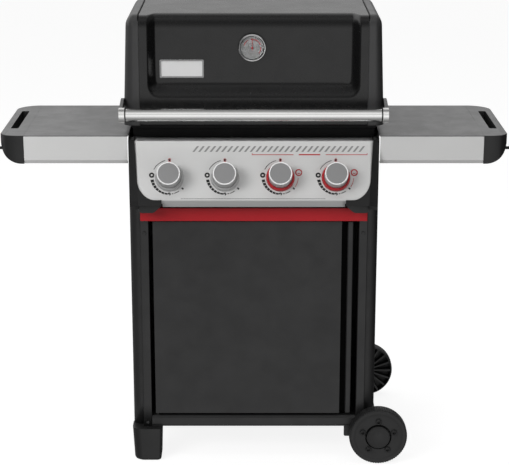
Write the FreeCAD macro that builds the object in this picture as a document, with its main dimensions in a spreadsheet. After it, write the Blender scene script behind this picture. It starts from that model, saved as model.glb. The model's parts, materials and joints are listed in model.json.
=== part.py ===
"""Four-burner gas barbecue grill on a cabinet cart, as a parametric FreeCAD document.

The origin is on the ground under the middle of the grill: X runs to the right as the
cook faces the grill, Y runs away from the cook and Z runs up. Millimetres.
"""
import FreeCAD, Part
import math
import os
import Sketcher

V = FreeCAD.Vector

doc = FreeCAD.newDocument("gas_grill")
sheet = doc.addObject("Spreadsheet::Sheet", "dims")
sub_parts = []


# ---------------------------------------------------------------- sizes and formulas

class Size:
    """A number that keeps the spreadsheet formula it was worked out from."""

    def __init__(self, value, formula):
        self.value = float(value)
        self.formula = formula

    def __add__(self, other):
        return joined_size(self, "+", other)

    def __radd__(self, other):
        return joined_size(other, "+", self)

    def __sub__(self, other):
        return joined_size(self, "-", other)

    def __rsub__(self, other):
        return joined_size(other, "-", self)

    def __mul__(self, other):
        return joined_size(self, "*", other)

    def __rmul__(self, other):
        return joined_size(other, "*", self)

    def __truediv__(self, other):
        return joined_size(self, "/", other)

    def __neg__(self):
        return joined_size(0, "-", self)


def as_size(number):
    if isinstance(number, Size):
        return number
    return Size(number, "(%r)" % float(number))


def joined_size(first, sign, second):
    a = as_size(first)
    b = as_size(second)
    if sign == "+":
        value = a.value + b.value
    elif sign == "-":
        value = a.value - b.value
    elif sign == "*":
        value = a.value * b.value
    else:
        value = a.value / b.value
    return Size(value, "(%s %s %s)" % (a.formula, sign, b.formula))


def sine(angle):
    return Size(math.sin(math.radians(angle.value)), "sin(%s * 1 deg)" % angle.formula)


def cosine(angle):
    return Size(math.cos(math.radians(angle.value)), "cos(%s * 1 deg)" % angle.formula)


def dim(alias, value, note):
    """Write one driving dimension to the next row of the sheet."""
    row = dim.row = getattr(dim, "row", 0) + 1
    sheet.set("A%d" % row, alias)
    sheet.set("B%d" % row, str(value))
    sheet.set("C%d" % row, note)
    sheet.setAlias("B%d" % row, alias)
    return Size(value, "dims." + alias)


def bind(obj, prop, size):
    """Tie one property of an object to a formula of the sheet."""
    obj.setExpression(prop, as_size(size).formula)


# ---------------------------------------------------------------- driving dimensions

sheet_wall = dim("sheet_wall", 2, "steel sheet of cart and tables")
casting_wall = dim("casting_wall", 4, "cast walls of firebox and lid ends")
seat_gap = dim("seat_gap", 0.3, "gap between curved faces that meet")
running_gap = dim("running_gap", 0.06, "radial clearance of a shaft that turns")

cart_width = dim("cart_width", 660, "outside of the side panels")
cart_front = dim("cart_front", -196, "front plane of the legs")
cart_depth = dim("cart_depth", 458, "front plane to rear plane")
cart_floor = dim("cart_floor", 95, "underside of the cart")
cart_top = dim("cart_top", 905, "top edge of the side panels")
leg_band = dim("leg_band", 25, "outer band of each leg, set back")
leg_strip = dim("leg_strip", 23, "front strip of each leg")
leg_step = dim("leg_step", 16, "set-back of the outer band")
leg_return = dim("leg_return", 26, "depth of the inner return flange")
leg_round = dim("leg_round", 12, "outer corner of the leg")
rear_flange = dim("rear_flange", 30, "width of the rear flange")
rail_height = dim("rail_height", 31, "bottom rail")
rear_panel_top = dim("rear_panel_top", 720, "top edge of the rear panel")
bar_height = dim("bar_height", 36, "front crossbar")
bar_bottom = dim("bar_bottom", 693, "underside of the crossbar")
bar_depth = dim("bar_depth", 24, "crossbar, front to back")
bar_inset = dim("bar_inset", 28, "crossbar inside the cart, each end")

foot_width = dim("foot_width", 72, "left feet, across")
foot_depth = dim("foot_depth", 66, "left feet, front to back")
foot_round = dim("foot_round", 16, "bottom corners of a foot")
foot_inset = dim("foot_inset", 4, "foot behind the side panel's outer face")
foot_reach = dim("foot_reach", 22, "foot ahead of the leg")

wheel_radius = dim("wheel_radius", 80, "wheel")
wheel_width = dim("wheel_width", 39, "wheel tread")
wheel_out = dim("wheel_out", 13, "wheel centres beyond the cart side")
wheel_gap = dim("wheel_gap", 6, "wheel clear of the leg, and of the rear")
axle_radius = dim("axle_radius", 5, "axle rod")
bracket_wall = dim("bracket_wall", 5, "axle bracket plate")
bracket_reach = dim("bracket_reach", 13, "axle bracket beyond the wheel, towards the middle")
cap_radius = dim("cap_radius", 34, "hub cap")
cap_height = dim("cap_height", 5, "hub cap dome")

door_bottom = dim("door_bottom", 134, "underside of the door")
door_top = dim("door_top", 685, "top of the door")
door_gap = dim("door_gap", 11, "gap at the hinge side")
grip_gap = dim("grip_gap", 15, "gap at the grip side")
grip_width = dim("grip_width", 15, "raised grip strip")
groove_width = dim("groove_width", 16, "finger groove")
groove_depth = dim("groove_depth", 15, "finger groove")
door_depth = dim("door_depth", 20, "door pan, front to back")
door_pin_radius = dim("door_pin_radius", 3, "door hinge pins")
door_pin_inset = dim("door_pin_inset", 5, "pin from the door's edge")

panel_lean = dim("panel_lean", 27.2, "control panel, degrees from upright")
panel_face = dim("panel_face", 160, "height of the panel face along its slope")
panel_top_y = dim("panel_top_y", -216, "top front edge of the panel")
panel_top_z = dim("panel_top_z", 911, "ledge above the panel")
cheek_width = dim("cheek_width", 16.5, "side frame beside the panel face")
panel_round = dim("panel_round", 53, "lower corners of the panel face")
panel_sheet = dim("panel_sheet", 1.5, "panel sheet")
panel_lip = dim("panel_lip", 26, "rolled lower lip")
ledge_back = dim("ledge_back", -165, "rear end of the ledge")
frame_proud = dim("frame_proud", 3, "side frame ahead of the face")
corner_reach = dim("corner_reach", 73.5, "frame's corner along the panel's lower edge")
shoe_reach = dim("shoe_reach", 49.5, "frame's foot along the crossbar")
frame_foot_bottom = dim("frame_foot_bottom", 716, "underside of the frame's foot")

knob_spacing = dim("knob_spacing", 145, "knob to knob")
knob_middle = dim("knob_middle", -3, "middle of the row of knobs")
knob_height = dim("knob_height", 61, "knob centres above the panel's lower edge")
knob_radius = dim("knob_radius", 30.6, "bright ring of the knob")
knob_length = dim("knob_length", 50, "knob front from the panel")
knob_rise = dim("knob_rise", 5, "back of the knob from the panel")
bezel_radius = dim("bezel_radius", 35, "bezel around the knob")
bezel_height = dim("bezel_height", 12, "bezel")
bezel_gap = dim("bezel_gap", 0.6, "knob inside its bezel")
stem_radius = dim("stem_radius", 4, "valve stem")
push_travel = dim("push_travel", 4, "knob pushed in to light")
valve_start = dim("valve_start", 26, "valve body behind the panel")
valve_length = dim("valve_length", 36, "valve body")
valve_half = dim("valve_half", 14, "half width of the valve body")
manifold_radius = dim("manifold_radius", 10, "gas manifold")
manifold_drop = dim("manifold_drop", 25, "manifold below the stems")
inlet_offset = dim("inlet_offset", 7.5, "gas inlet pipe beyond the manifold's end")
inlet_radius = dim("inlet_radius", 8, "gas inlet nipple")
inlet_length = dim("inlet_length", 14, "gas inlet nipple")
inlet_end = dim("inlet_end", -136, "rear end of the nipple")

firebox_inset = dim("firebox_inset", 10, "firebox inside the cart, each side")
firebox_front = dim("firebox_front", -120, "lower front wall")
firebox_chest = dim("firebox_chest", -165, "upper front wall")
firebox_lip = dim("firebox_lip", -206, "front rim under the lid")
firebox_rear = dim("firebox_rear", 205, "rear wall")
firebox_floor = dim("firebox_floor", 760, "underside of the firebox")
firebox_rim = dim("firebox_rim", 950, "rim of the firebox")
burner_z = dim("burner_z", 800, "burner tubes")
burner_radius = dim("burner_radius", 12.5, "burner tube")
burner_front = dim("burner_front", -150, "mouth of the burner tubes")
tent_width = dim("tent_width", 72, "heat tent")
tent_rise = dim("tent_rise", 30, "heat tent ridge")
tent_z = dim("tent_z", 866, "ledge under the heat tents")
grate_z = dim("grate_z", 931, "ledge under the grates")
grate_bar = dim("grate_bar", 10, "height of the grate bars")
grate_pitch = dim("grate_pitch", 19.5, "bar to bar")
rack_z = dim("rack_z", 1030, "warming rack")
rack_depth = dim("rack_depth", 110, "warming rack")
rack_wire = dim("rack_wire", 4, "warming rack rods")
tray_inset = dim("tray_inset", 34, "grease tray inside the cart, each side")
tray_height = dim("tray_height", 22, "grease tray")
tray_z = dim("tray_z", 748, "runners under the tray's flanges")
tray_back = dim("tray_back", 250, "rear edge of the tray")

table_top_z = dim("table_top_z", 925, "working height of the side tables")
table_front = dim("table_front", -218.5, "front face of the tables")
table_depth = dim("table_depth", 393, "tables, front to back")
table_sheet = dim("table_sheet", 274, "sheet part of a table, across")
table_end = dim("table_end", 66, "moulded end of a table, across")
apron_height = dim("apron_height", 75.5, "tables, top to lower lip")
end_round_front = dim("end_round_front", 25, "front outer corner")
end_round_rear = dim("end_round_rear", 65, "rear outer corner")
end_round_under = dim("end_round_under", 60, "underside of the outer end")
slot_inset = dim("slot_inset", 25.5, "grip slot from the sheet's end")
slot_width = dim("slot_width", 20.5, "grip slot")
slot_front = dim("slot_front", -129, "front end of the grip slot")
slot_length = dim("slot_length", 225, "grip slot")
hook_y = dim("hook_y", -180, "tool hook")
hook_z = dim("hook_z", 884, "tool hook")
hook_radius = dim("hook_radius", 4, "tool hook")
hook_reach = dim("hook_reach", 14, "tool hook beyond the end piece")

lid_over = dim("lid_over", 8, "lid beyond the cart, each side")
lid_end_width = dim("lid_end_width", 43, "cast end of the lid, across")
lid_front = dim("lid_front", -214.6, "front face of the lid")
lid_rear = dim("lid_rear", 215, "rear face of the lid")
lid_bottom = dim("lid_bottom", 953, "lower edge of the lid")
lid_top = dim("lid_top", 1238, "top of the lid")
lid_break = dim("lid_break", 130, "rear end of the flat top")
lid_shoulder = dim("lid_shoulder", 1118, "top of the upright rear face")
lid_front_round = dim("lid_front_round", 42, "front top edge")
lid_rear_round = dim("lid_rear_round", 70, "rear top edge")
lid_edge = dim("lid_edge", 12, "outer edges of the cast ends")
end_proud = dim("end_proud", 2, "cast ends stand above the sheet")
recess_inset = dim("recess_inset", 29, "recess from the cast end")
recess_depth = dim("recess_depth", 31.5, "front recess")
recess_bottom = dim("recess_bottom", 1037, "lower wall of the recess")
hinge_y = dim("hinge_y", 228, "lid pivot")
hinge_z = dim("hinge_z", 962, "lid pivot")
hinge_pin = dim("hinge_pin", 4, "radius of the lid pivot pins")
hinge_boss = dim("hinge_boss", 11, "radius of the pivot bosses")
ear_inset = dim("ear_inset", 20, "ear's inner face from the firebox side")
ear_wall = dim("ear_wall", 12, "ear and lug thickness")

handle_y = dim("handle_y", -279, "handle axis")
handle_z = dim("handle_z", 993.5, "handle axis")
handle_radius = dim("handle_radius", 16.2, "handle tube")
handle_wall = dim("handle_wall", 1.5, "handle tube")
tube_inset = dim("tube_inset", 7, "handle tube short of the lid's side")
collar_radius = dim("collar_radius", 21, "end collars")
collar_length = dim("collar_length", 16, "end collars")

gauge_x = dim("gauge_x", -4, "thermometer")
gauge_z = dim("gauge_z", 1152.5, "thermometer")
gauge_radius = dim("gauge_radius", 36.8, "thermometer bezel")
gauge_height = dim("gauge_height", 14, "thermometer bezel")
plate_x = dim("plate_x", -188, "middle of the blank plate")
plate_z = dim("plate_z", 1096.5, "middle of the blank plate")
plate_width = dim("plate_width", 115.5, "blank plate")
plate_height = dim("plate_height", 48, "blank plate")
plate_wall = dim("plate_wall", 3, "blank plate")

# ---------------------------------------------------------------- worked-out sizes

cart_half = cart_width / 2
cart_rear = cart_front + cart_depth
strip_out = cart_half - leg_band
strip_in = strip_out - leg_strip
band_front = cart_front + leg_step
side_inner = cart_half - sheet_wall
bar_half = cart_half - bar_inset
wheel_x = cart_half + wheel_out
panel_half = cart_half - cheek_width
frame_reach = panel_half - corner_reach
frame_foot_reach = panel_half - shoe_reach
firebox_half = cart_half - firebox_inset
tray_half = cart_half - tray_inset
ear_near = firebox_half - ear_inset
rail_top = cart_floor + rail_height

door_left = -strip_in + door_gap
grip_right = strip_in - grip_gap
grip_left = grip_right - grip_width
door_right = grip_left - groove_width
door_pin_x = door_left + door_pin_inset
door_pin_y = cart_front + door_depth / 2

lean_sine = sine(panel_lean)
lean_cosine = cosine(panel_lean)
face_foot_y = panel_top_y - panel_face * lean_sine
face_foot_z = panel_top_z - panel_face * lean_cosine
knob_y = face_foot_y + knob_height * lean_sine
knob_z = face_foot_z + knob_height * lean_cosine
knob_xs = [knob_middle + knob_spacing * step for step in (-1.5, -0.5, 0.5, 1.5)]
manifold_in = valve_start + valve_length / 2
manifold_up = knob_height - manifold_drop
manifold_y = face_foot_y + manifold_up * lean_sine + manifold_in * lean_cosine
manifold_z = face_foot_z + manifold_up * lean_cosine - manifold_in * lean_sine

front_wheel_back = cart_front - wheel_gap
rear_wheel_front = cart_rear + wheel_gap
table_joint = cart_half + table_sheet
table_outer = table_joint + table_end
slot_near = table_joint + slot_inset
table_back = table_front + table_depth
table_under = table_top_z - apron_height
recess_floor = lid_front + recess_depth
lid_half = cart_half + lid_over
lid_seam = lid_half - lid_end_width
recess_half = lid_seam - recess_inset
handle_half = lid_half - tube_inset


# ---------------------------------------------------------------- ways of making shapes

def move(obj, x=0, y=0, z=0, turn=None):
    """Place an object at a point, after turning it about an axis by an angle in degrees."""
    if turn is not None:
        axis, angle = turn
        obj.Placement = FreeCAD.Placement(V(0, 0, 0), FreeCAD.Rotation(axis, as_size(angle).value))
        bind(obj, "Placement.Rotation.Angle", angle)
    bind(obj, "Placement.Base.x", x)
    bind(obj, "Placement.Base.y", y)
    bind(obj, "Placement.Base.z", z)
    return obj


def block(name, x, y, z):
    """A box from pairs of lowest and highest coordinates."""
    box = doc.addObject("Part::Box", name)
    bind(box, "Length", x[1] - x[0])
    bind(box, "Width", y[1] - y[0])
    bind(box, "Height", z[1] - z[0])
    return move(box, x[0], y[0], z[0])


def rod(name, along, start, radius, length):
    """A cylinder along X, Y or Z from the centre of its first end."""
    cylinder = doc.addObject("Part::Cylinder", name)
    bind(cylinder, "Radius", radius)
    bind(cylinder, "Height", length)
    turns = {"X": (V(0, 1, 0), 90), "Y": (V(1, 0, 0), -90), "Z": None}
    if turns[along] is not None:
        cylinder.Placement = FreeCAD.Placement(V(0, 0, 0), FreeCAD.Rotation(*turns[along]))
    return move(cylinder, *start)


def draw(body, name, plane, outline, start):
    """A closed outline on one origin plane of a body, every corner tied to the sheet."""
    sketch = body.newObject("Sketcher::SketchObject", name + "_outline")
    face = [item for item in body.Origin.OriginFeatures if item.Role == plane + "_Plane"][0]
    sketch.AttachmentSupport = (face, "")
    sketch.MapMode = "FlatFace"
    bind(sketch, "AttachmentOffset.Base.z", start)
    corners = [(as_size(a), as_size(b)) for a, b in outline]
    points = [V(a.value, b.value, 0) for a, b in corners]
    count = len(points)
    for index in range(count):
        sketch.addGeometry(Part.LineSegment(points[index], points[(index + 1) % count]), False)
    for index in range(count):
        sketch.addConstraint(Sketcher.Constraint("Coincident", index, 2, (index + 1) % count, 1))
    for index, pair in enumerate(corners):
        for kind, size in zip(("DistanceX", "DistanceY"), pair):
            rule = sketch.addConstraint(Sketcher.Constraint(kind, -1, 1, index, 1, size.value))
            sketch.setExpression("Constraints[%d]" % rule, size.formula)
    return sketch


def padded(name, plane, outline, start, depth, rounds=()):
    """A body padded from an outline; rounds lists (corner numbers, radius) to fillet."""
    body = doc.addObject("PartDesign::Body", name)
    sketch = draw(body, name, plane, outline, start)
    pad = body.newObject("PartDesign::Pad", name + "_pad")
    pad.Profile = sketch
    bind(pad, "Length", depth)
    doc.recompute()
    normal = {"XY": V(0, 0, 1), "XZ": V(0, -1, 0), "YZ": V(1, 0, 0)}[plane]
    spots = [corner_point(plane, outline[index]) for index in range(len(outline))]
    for number, (corners, radius) in enumerate(rounds):
        base = body.Tip
        chosen = []
        for index, edge in enumerate(base.Shape.Edges):
            if runs_along(edge, normal) and any(passes(edge, spots[c], normal) for c in corners):
                chosen.append("Edge%d" % (index + 1))
        fillet = body.newObject("PartDesign::Fillet", "%s_round_%d" % (name, number + 1))
        fillet.Base = (base, chosen)
        bind(fillet, "Radius", radius)
        body.Tip = fillet
        doc.recompute()
    return body


def corner_point(plane, corner):
    across, up = as_size(corner[0]).value, as_size(corner[1]).value
    return {"XY": V(across, up, 0), "XZ": V(across, 0, up), "YZ": V(0, across, up)}[plane]


def runs_along(edge, direction):
    if not isinstance(edge.Curve, Part.Line):
        return False
    return edge.tangentAt(edge.FirstParameter).cross(direction).Length < 1e-6


def passes(edge, spot, direction):
    offset = edge.Vertexes[0].Point - spot
    return (offset - direction * offset.dot(direction)).Length < 0.01


def turned(name, outline):
    """A body turned about Z from an outline of (radius, height) corners."""
    body = doc.addObject("PartDesign::Body", name)
    sketch = draw(body, name, "XZ", outline, 0)
    turn = body.newObject("PartDesign::Revolution", name + "_turn")
    turn.Profile = sketch
    turn.ReferenceAxis = (sketch, ["V_Axis"])
    turn.Angle = 360
    doc.recompute()
    return body


def fused(name, shapes):
    whole = doc.addObject("Part::MultiFuse", name)
    whole.Shapes = shapes
    return whole


def cut(name, base, tools):
    """The base less every tool."""
    result = doc.addObject("Part::Cut", name)
    result.Base = base
    result.Tool = tools[0] if len(tools) == 1 else fused(name + "_tools", tools)
    return result


def grouped(name, shapes):
    """Separate solids kept side by side."""
    group = doc.addObject("Part::Compound", name)
    group.Links = shapes
    return group


def mirrored(name, source):
    """The same piece on the other side of the middle plane."""
    mirror = doc.addObject("Part::Mirroring", name)
    mirror.Source = source
    mirror.Normal = V(1, 0, 0)
    return mirror


def folded(points, wall):
    """Outline of a sheet of one thickness bent square at each of the points.

    The wall lies to the left of the path.
    """
    sizes = [(as_size(a), as_size(b)) for a, b in points]
    lefts = []
    for (a, b), (c, d) in zip(sizes, sizes[1:]):
        across, up = c.value - a.value, d.value - b.value
        span = math.hypot(across, up)
        lefts.append((round(-up / span), round(across / span)))
    other = []
    for index, (a, b) in enumerate(sizes):
        before = lefts[max(index - 1, 0)]
        after = lefts[min(index, len(lefts) - 1)]
        turn = before if before == after else (before[0] + after[0], before[1] + after[1])
        other.append((a + wall * turn[0], b + wall * turn[1]))
    return sizes + other[::-1]


def on_panel(obj, x=0):
    """Stand an object made with its foot on the XY plane on the leaning panel face.

    Its Y runs up the face from the lower edge and its Z out of the face.
    """
    return move(obj, x, face_foot_y, face_foot_z, (V(1, 0, 0), 90 - panel_lean))


def at_knob(obj, x, out=0):
    """Stand an object on the panel at one knob's centre, so far out of the face."""
    return move(obj, x, knob_y - lean_cosine * out, knob_z + lean_sine * out,
                (V(1, 0, 0), 90 - panel_lean))


def facing_front(obj, x, y, z):
    """Turn an object so that its Z points at the cook."""
    return move(obj, x, y, z, (V(1, 0, 0), 90))


def sub_part(label, obj):
    """Name a finished piece."""
    obj.Label = label
    sub_parts.append(obj)
    return obj


def both_sides(label, right):
    """Keep a right-hand piece and its mirror image as two pieces."""
    sub_part(label + "_right", right)
    sub_part(label + "_left", mirrored(label + "_left", right))


# ---------------------------------------------------------------- cart

def cart_sides():
    """Folded side panels: leg strip, set-back band, wall and rear flange, with a runner."""
    path = [
        (strip_in, cart_front + leg_return),
        (strip_in, cart_front),
        (strip_out, cart_front),
        (strip_out, band_front),
        (cart_half, band_front),
        (cart_half, cart_rear),
        (cart_half - rear_flange, cart_rear),
    ]
    wall = padded("side_wall", "XY", folded(path, sheet_wall), cart_floor, cart_top - cart_floor,
                  [((4,), leg_round), ((9,), leg_round - sheet_wall)])
    runner = block("tray_runner", (tray_half - 12, side_inner), (ledge_back, cart_rear - sheet_wall),
                   (tray_z - sheet_wall, tray_z))
    both_sides("cart_side", fused("cart_side_right", [wall, runner]))


def cart_panels():
    """Rear panel, bottom shelf and bottom rail."""
    behind = cart_rear - sheet_wall
    sub_part("cart_rear_panel", block("rear_panel", (-side_inner, side_inner),
                                      (behind - sheet_wall, behind), (rail_top, rear_panel_top)))
    front = cart_front + leg_return + sheet_wall
    shelf = block("shelf_plate", (-side_inner, side_inner), (front, behind), (cart_floor, rail_top))
    under = block("shelf_hollow", (sheet_wall - side_inner, side_inner - sheet_wall),
                  (front + sheet_wall, behind - sheet_wall), (cart_floor, rail_top - sheet_wall))
    sub_part("cart_bottom_shelf", cut("bottom_shelf", shelf, [under]))
    face = cart_front - sheet_wall
    bevel = 6
    outline = [
        (front, cart_floor), (front, rail_top), (face + bevel, rail_top),
        (face, rail_top - bevel), (face, cart_floor + bevel), (face + sheet_wall, cart_floor + bevel),
        (face + sheet_wall, cart_floor),
    ]
    rail = padded("rail_bar", "YZ", outline, -strip_in, strip_in * 2)
    inner = block("rail_hollow", (-strip_in, strip_in), (face + bevel, front),
                  (cart_floor + sheet_wall, rail_top - sheet_wall))
    sub_part("cart_front_rail", cut("front_rail", rail, [inner]))


def crossbar():
    """Front crossbar with the flange that holds the upper door pin."""
    front = cart_front - bar_depth
    bar_top = bar_bottom + bar_height
    inside = bar_half - sheet_wall
    bar = block("bar_channel", (-bar_half, bar_half), (front, cart_front), (bar_bottom, bar_top))
    inner = block("bar_hollow", (-inside, inside), (front + sheet_wall, cart_front),
                  (bar_bottom + sheet_wall, bar_top - sheet_wall))
    behind = cart_front + leg_return - sheet_wall
    flange = block("bar_flange", (-strip_in, strip_in), (cart_front, behind),
                   (bar_bottom, bar_bottom + sheet_wall))
    channel = cut("bar_open_channel", bar, [inner])
    sub_part("front_crossbar", fused("crossbar", [channel, flange]))


def foot(name, front):
    """One hollow moulded foot under the left side, open at the top."""
    low = -cart_half + foot_inset
    outline = [(low, 0), (low + foot_width, 0), (low + foot_width, cart_floor), (low, cart_floor)]
    outer = padded(name, "XZ", outline, -(front + foot_depth), foot_depth, [((0, 1), foot_round)])
    inner = block(name + "_hollow", (low + casting_wall, low + foot_width - casting_wall),
                  (front + casting_wall, front + foot_depth - casting_wall),
                  (foot_round, cart_floor))
    return cut(name + "_shell", outer, [inner])


def feet():
    """Two feet under the left side; the wheels carry the right side."""
    front = foot("front_foot", cart_front - foot_reach)
    rear = foot("rear_foot", cart_rear - foot_depth)
    sub_part("cart_feet", grouped("feet", [front, rear]))


def axle():
    """Axle rod from wheel to wheel in two brackets under the right side."""
    under = wheel_radius - axle_radius * 3
    near = wheel_x - wheel_radius - bracket_reach
    outline = [
        (near, cart_floor), (near, under + 3), (near + 3, under), (wheel_x, under),
        (wheel_x + axle_radius * 3, wheel_radius), (wheel_x + axle_radius * 2, cart_floor),
    ]
    brackets = []
    for name, start in (("front", cart_front), ("rear", cart_rear - bracket_wall)):
        plate = padded(name + "_bracket", "XZ", outline, -(start + bracket_wall), bracket_wall)
        hole = rod(name + "_axle_hole", "Y", (wheel_x, start, wheel_radius), axle_radius, bracket_wall)
        brackets.append(cut(name + "_axle_bracket", plate, [hole]))
    sub_part("axle_brackets", grouped("brackets", brackets))
    start = front_wheel_back - wheel_width * 0.8
    end = rear_wheel_front + wheel_width * 0.8
    shaft = rod("axle_rod", "Y", (wheel_x, start, wheel_radius), axle_radius, end - start)
    sub_part("wheel_axle", shaft)


def wheel(label, back, outward):
    """A ribbed plastic wheel; outward is -1 for the front wheel and 1 for the rear one."""
    bore = axle_radius + running_gap
    hub = axle_radius * 3
    rim = wheel_radius - 12
    web = casting_wall
    outline = [
        (bore, 0), (hub, 0), (hub, wheel_width - web), (rim, wheel_width - web), (rim, 0),
        (wheel_radius - 4, 0), (wheel_radius, 4), (wheel_radius, wheel_width - 4),
        (wheel_radius - 4, wheel_width), (bore, wheel_width),
    ]
    pieces = [turned(label + "_tread", outline)]
    rib_count = 12
    for index in range(rib_count):
        rib = doc.addObject("Part::Box", label + "_rib")
        bind(rib, "Length", rim - hub + 2)
        bind(rib, "Width", 3)
        bind(rib, "Height", wheel_width - web)
        angle = 360.0 * index / rib_count
        spot = FreeCAD.Rotation(V(0, 0, 1), angle).multVec(V(hub.value - 1, -1.5, 0))
        rib.Placement = FreeCAD.Placement(spot, FreeCAD.Rotation(V(0, 0, 1), angle))
        pieces.append(rib)
    body = fused(label, pieces)
    sub_part(label, move(body, wheel_x, back, wheel_radius, (V(1, 0, 0), -90 * outward)))


def hub_cap(label, face, outward):
    """A shallow domed cap over the end of the axle."""
    outline = [(0, 0), (cap_radius, 0), (cap_radius, 1.5), (cap_radius - 3, cap_height - 1.5),
               (cap_radius - 8, cap_height), (0, cap_height)]
    cap = turned(label, outline)
    sub_part(label, move(cap, wheel_x, face, wheel_radius, (V(1, 0, 0), -90 * outward)))


def wheels():
    wheel("wheel_front", front_wheel_back, -1)
    wheel("wheel_rear", rear_wheel_front, 1)
    hub_cap("hub_cap_front", front_wheel_back - wheel_width, -1)
    hub_cap("hub_cap_rear", rear_wheel_front + wheel_width, 1)


def screw_heads():
    """Round screw heads on the legs and the side panels."""
    heads = []
    height = 3
    strip_middle = strip_out - leg_strip / 2
    for side in (-1, 1):
        for z in (cart_floor + 12, bar_bottom - 40):
            start = (strip_middle * side, cart_front - height, z)
            heads.append(rod("front_screw", "Y", start, 4.5, height))
        for y in (cart_front + 60, cart_rear - 30):
            for z in (cart_floor + 15, (cart_floor + cart_top) / 2, table_under - 40):
                start = (cart_half if side > 0 else -cart_half - height, y, z)
                heads.append(rod("side_screw", "X", start, 5.5, height))
    sub_part("cart_screws", grouped("screws", heads))


# ---------------------------------------------------------------- door

def door():
    """Pan-shaped door with a finger groove and grip strip, on two pins at its left edge."""
    back = cart_front + door_depth
    pan = block("door_pan", (door_left, door_right), (cart_front, back), (door_bottom, door_top))
    inner = block("door_hollow", (door_left + sheet_wall, door_right - sheet_wall),
                  (cart_front + sheet_wall, back), (door_bottom + sheet_wall, door_top - sheet_wall))
    hole = rod("door_pin_hole", "Z", (door_pin_x, door_pin_y, door_bottom - 1),
               door_pin_radius + running_gap, door_top - door_bottom + 2)
    sub_part("door_panel", cut("door", pan, [inner, hole]))
    floor = cart_front + groove_depth
    outline = [
        (door_right, floor), (grip_left, floor), (grip_left, cart_front), (grip_right, cart_front),
        (grip_right, back), (door_right, back),
    ]
    grip = padded("grip_strip", "XY", outline, door_bottom, door_top - door_bottom, [((2, 3), 3)])
    sub_part("door_grip", grip)
    reach = 10
    lower = rod("lower_pin", "Z", (door_pin_x, door_pin_y, rail_top), door_pin_radius,
                door_bottom - rail_top + reach)
    upper = rod("upper_pin", "Z", (door_pin_x, door_pin_y, door_top - reach), door_pin_radius,
                bar_bottom - door_top + reach)
    sub_part("door_hinge_pins", grouped("door_pins", [lower, upper]))


# ---------------------------------------------------------------- firebox and its contents

def firebox_outline(wall):
    """Side view of the firebox, drawn in by a wall thickness."""
    top = firebox_rim + wall * 3
    return [
        (firebox_rear - wall, firebox_floor + wall), (firebox_front + wall, firebox_floor + wall),
        (firebox_front + wall, firebox_rim - 70 + wall / 2),
        (firebox_chest + wall, firebox_rim - 45 + wall / 2),
        (firebox_chest + wall, firebox_rim - 16 + wall / 2),
        (firebox_lip + wall, firebox_rim - 6 + wall / 2),
        (firebox_lip + wall, top), (firebox_rear - wall, top),
    ]


def firebox():
    """Cast trough with ledges, burner holes, a grease opening and the lid's hinge ears."""
    none = as_size(0)
    outer = padded("firebox_outside", "YZ", firebox_outline(none), -firebox_half, firebox_half * 2)
    inside = firebox_half - casting_wall
    inner = padded("firebox_inside", "YZ", firebox_outline(casting_wall), -inside, inside * 2)
    through = casting_wall + 2
    drain = block("grease_opening", (-60, 60), (0, 80),
                  (firebox_floor - 1, firebox_floor - 1 + through))
    hole_radius = burner_radius + seat_gap
    holes = [rod("burner_hole", "Y", (x, firebox_front - 1, burner_z), hole_radius, through)
             for x in knob_xs]
    trough = cut("firebox_trough", outer, [inner, drain] + holes)
    span = (-inside, inside)
    back = firebox_rear - casting_wall
    tent_front = firebox_front + casting_wall
    grate_front = firebox_chest + casting_wall
    ledge = 8
    added = [
        block("front_tent_ledge", span, (tent_front, tent_front + ledge),
              (tent_z - casting_wall, tent_z)),
        block("rear_tent_ledge", span, (back - ledge, back), (tent_z - casting_wall, tent_z)),
        block("rear_grate_ledge", span, (back - ledge, back), (grate_z - casting_wall, grate_z)),
        block("front_grate_ledge", span, (grate_front, grate_front + ledge),
              (grate_z - casting_wall, grate_z)),
    ]
    for side in (-1, 1):
        seat = sorted([firebox_half * side, cart_half * side], key=lambda size: size.value)
        added.append(block("side_seat", seat, (firebox_front + 10, firebox_rear - 5),
                           (cart_top, cart_top + casting_wall)))
        added.append(hinge_ear(side))
    sub_part("firebox", fused("cookbox", [trough] + added))


def hinge_ear(side):
    """One ear behind the rear wall, bored for the lid's pivot pin."""
    low = ear_near if side > 0 else -(ear_near + ear_wall)
    outline = [
        (firebox_rear, hinge_z - 45), (hinge_y + hinge_boss, hinge_z - 14),
        (hinge_y + hinge_boss, hinge_z + hinge_boss), (hinge_y - hinge_boss, hinge_z + hinge_boss),
        (firebox_rear, firebox_rim - 6),
    ]
    arm = padded("firebox_ear", "YZ", outline, low, ear_wall, [((2, 3), hinge_boss - 1)])
    bore = rod("ear_bore", "X", (low - 1, hinge_y, hinge_z), hinge_pin, ear_wall + 2)
    return cut("bored_ear", arm, [bore])


def burners():
    """Four burner tubes, open at the mouth and closed at the rear wall."""
    tubes = []
    back = firebox_rear - casting_wall
    for x in knob_xs:
        outer = rod("burner_outside", "Y", (x, burner_front, burner_z), burner_radius,
                    back - burner_front)
        inner = rod("burner_inside", "Y", (x, burner_front - 1, burner_z), burner_radius - 1.5,
                    back - burner_front - 4)
        tubes.append(cut("burner_tube", outer, [inner]))
    sub_part("burner_tubes", grouped("burners", tubes))


def heat_tents():
    """Bent sheet ridges over the burners."""
    tents = []
    half = tent_width / 2
    front = firebox_front + casting_wall + seat_gap
    length = firebox_rear - casting_wall - seat_gap - front
    for x in knob_xs:
        outline = [
            (x - half, tent_z), (x - half + sheet_wall, tent_z), (x, tent_z + tent_rise - sheet_wall),
            (x + half - sheet_wall, tent_z), (x + half, tent_z), (x + 3, tent_z + tent_rise),
            (x - 3, tent_z + tent_rise),
        ]
        tents.append(padded("heat_tent", "XZ", outline, -(front + length), length))
    sub_part("heat_tents", grouped("tents", tents))


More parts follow.
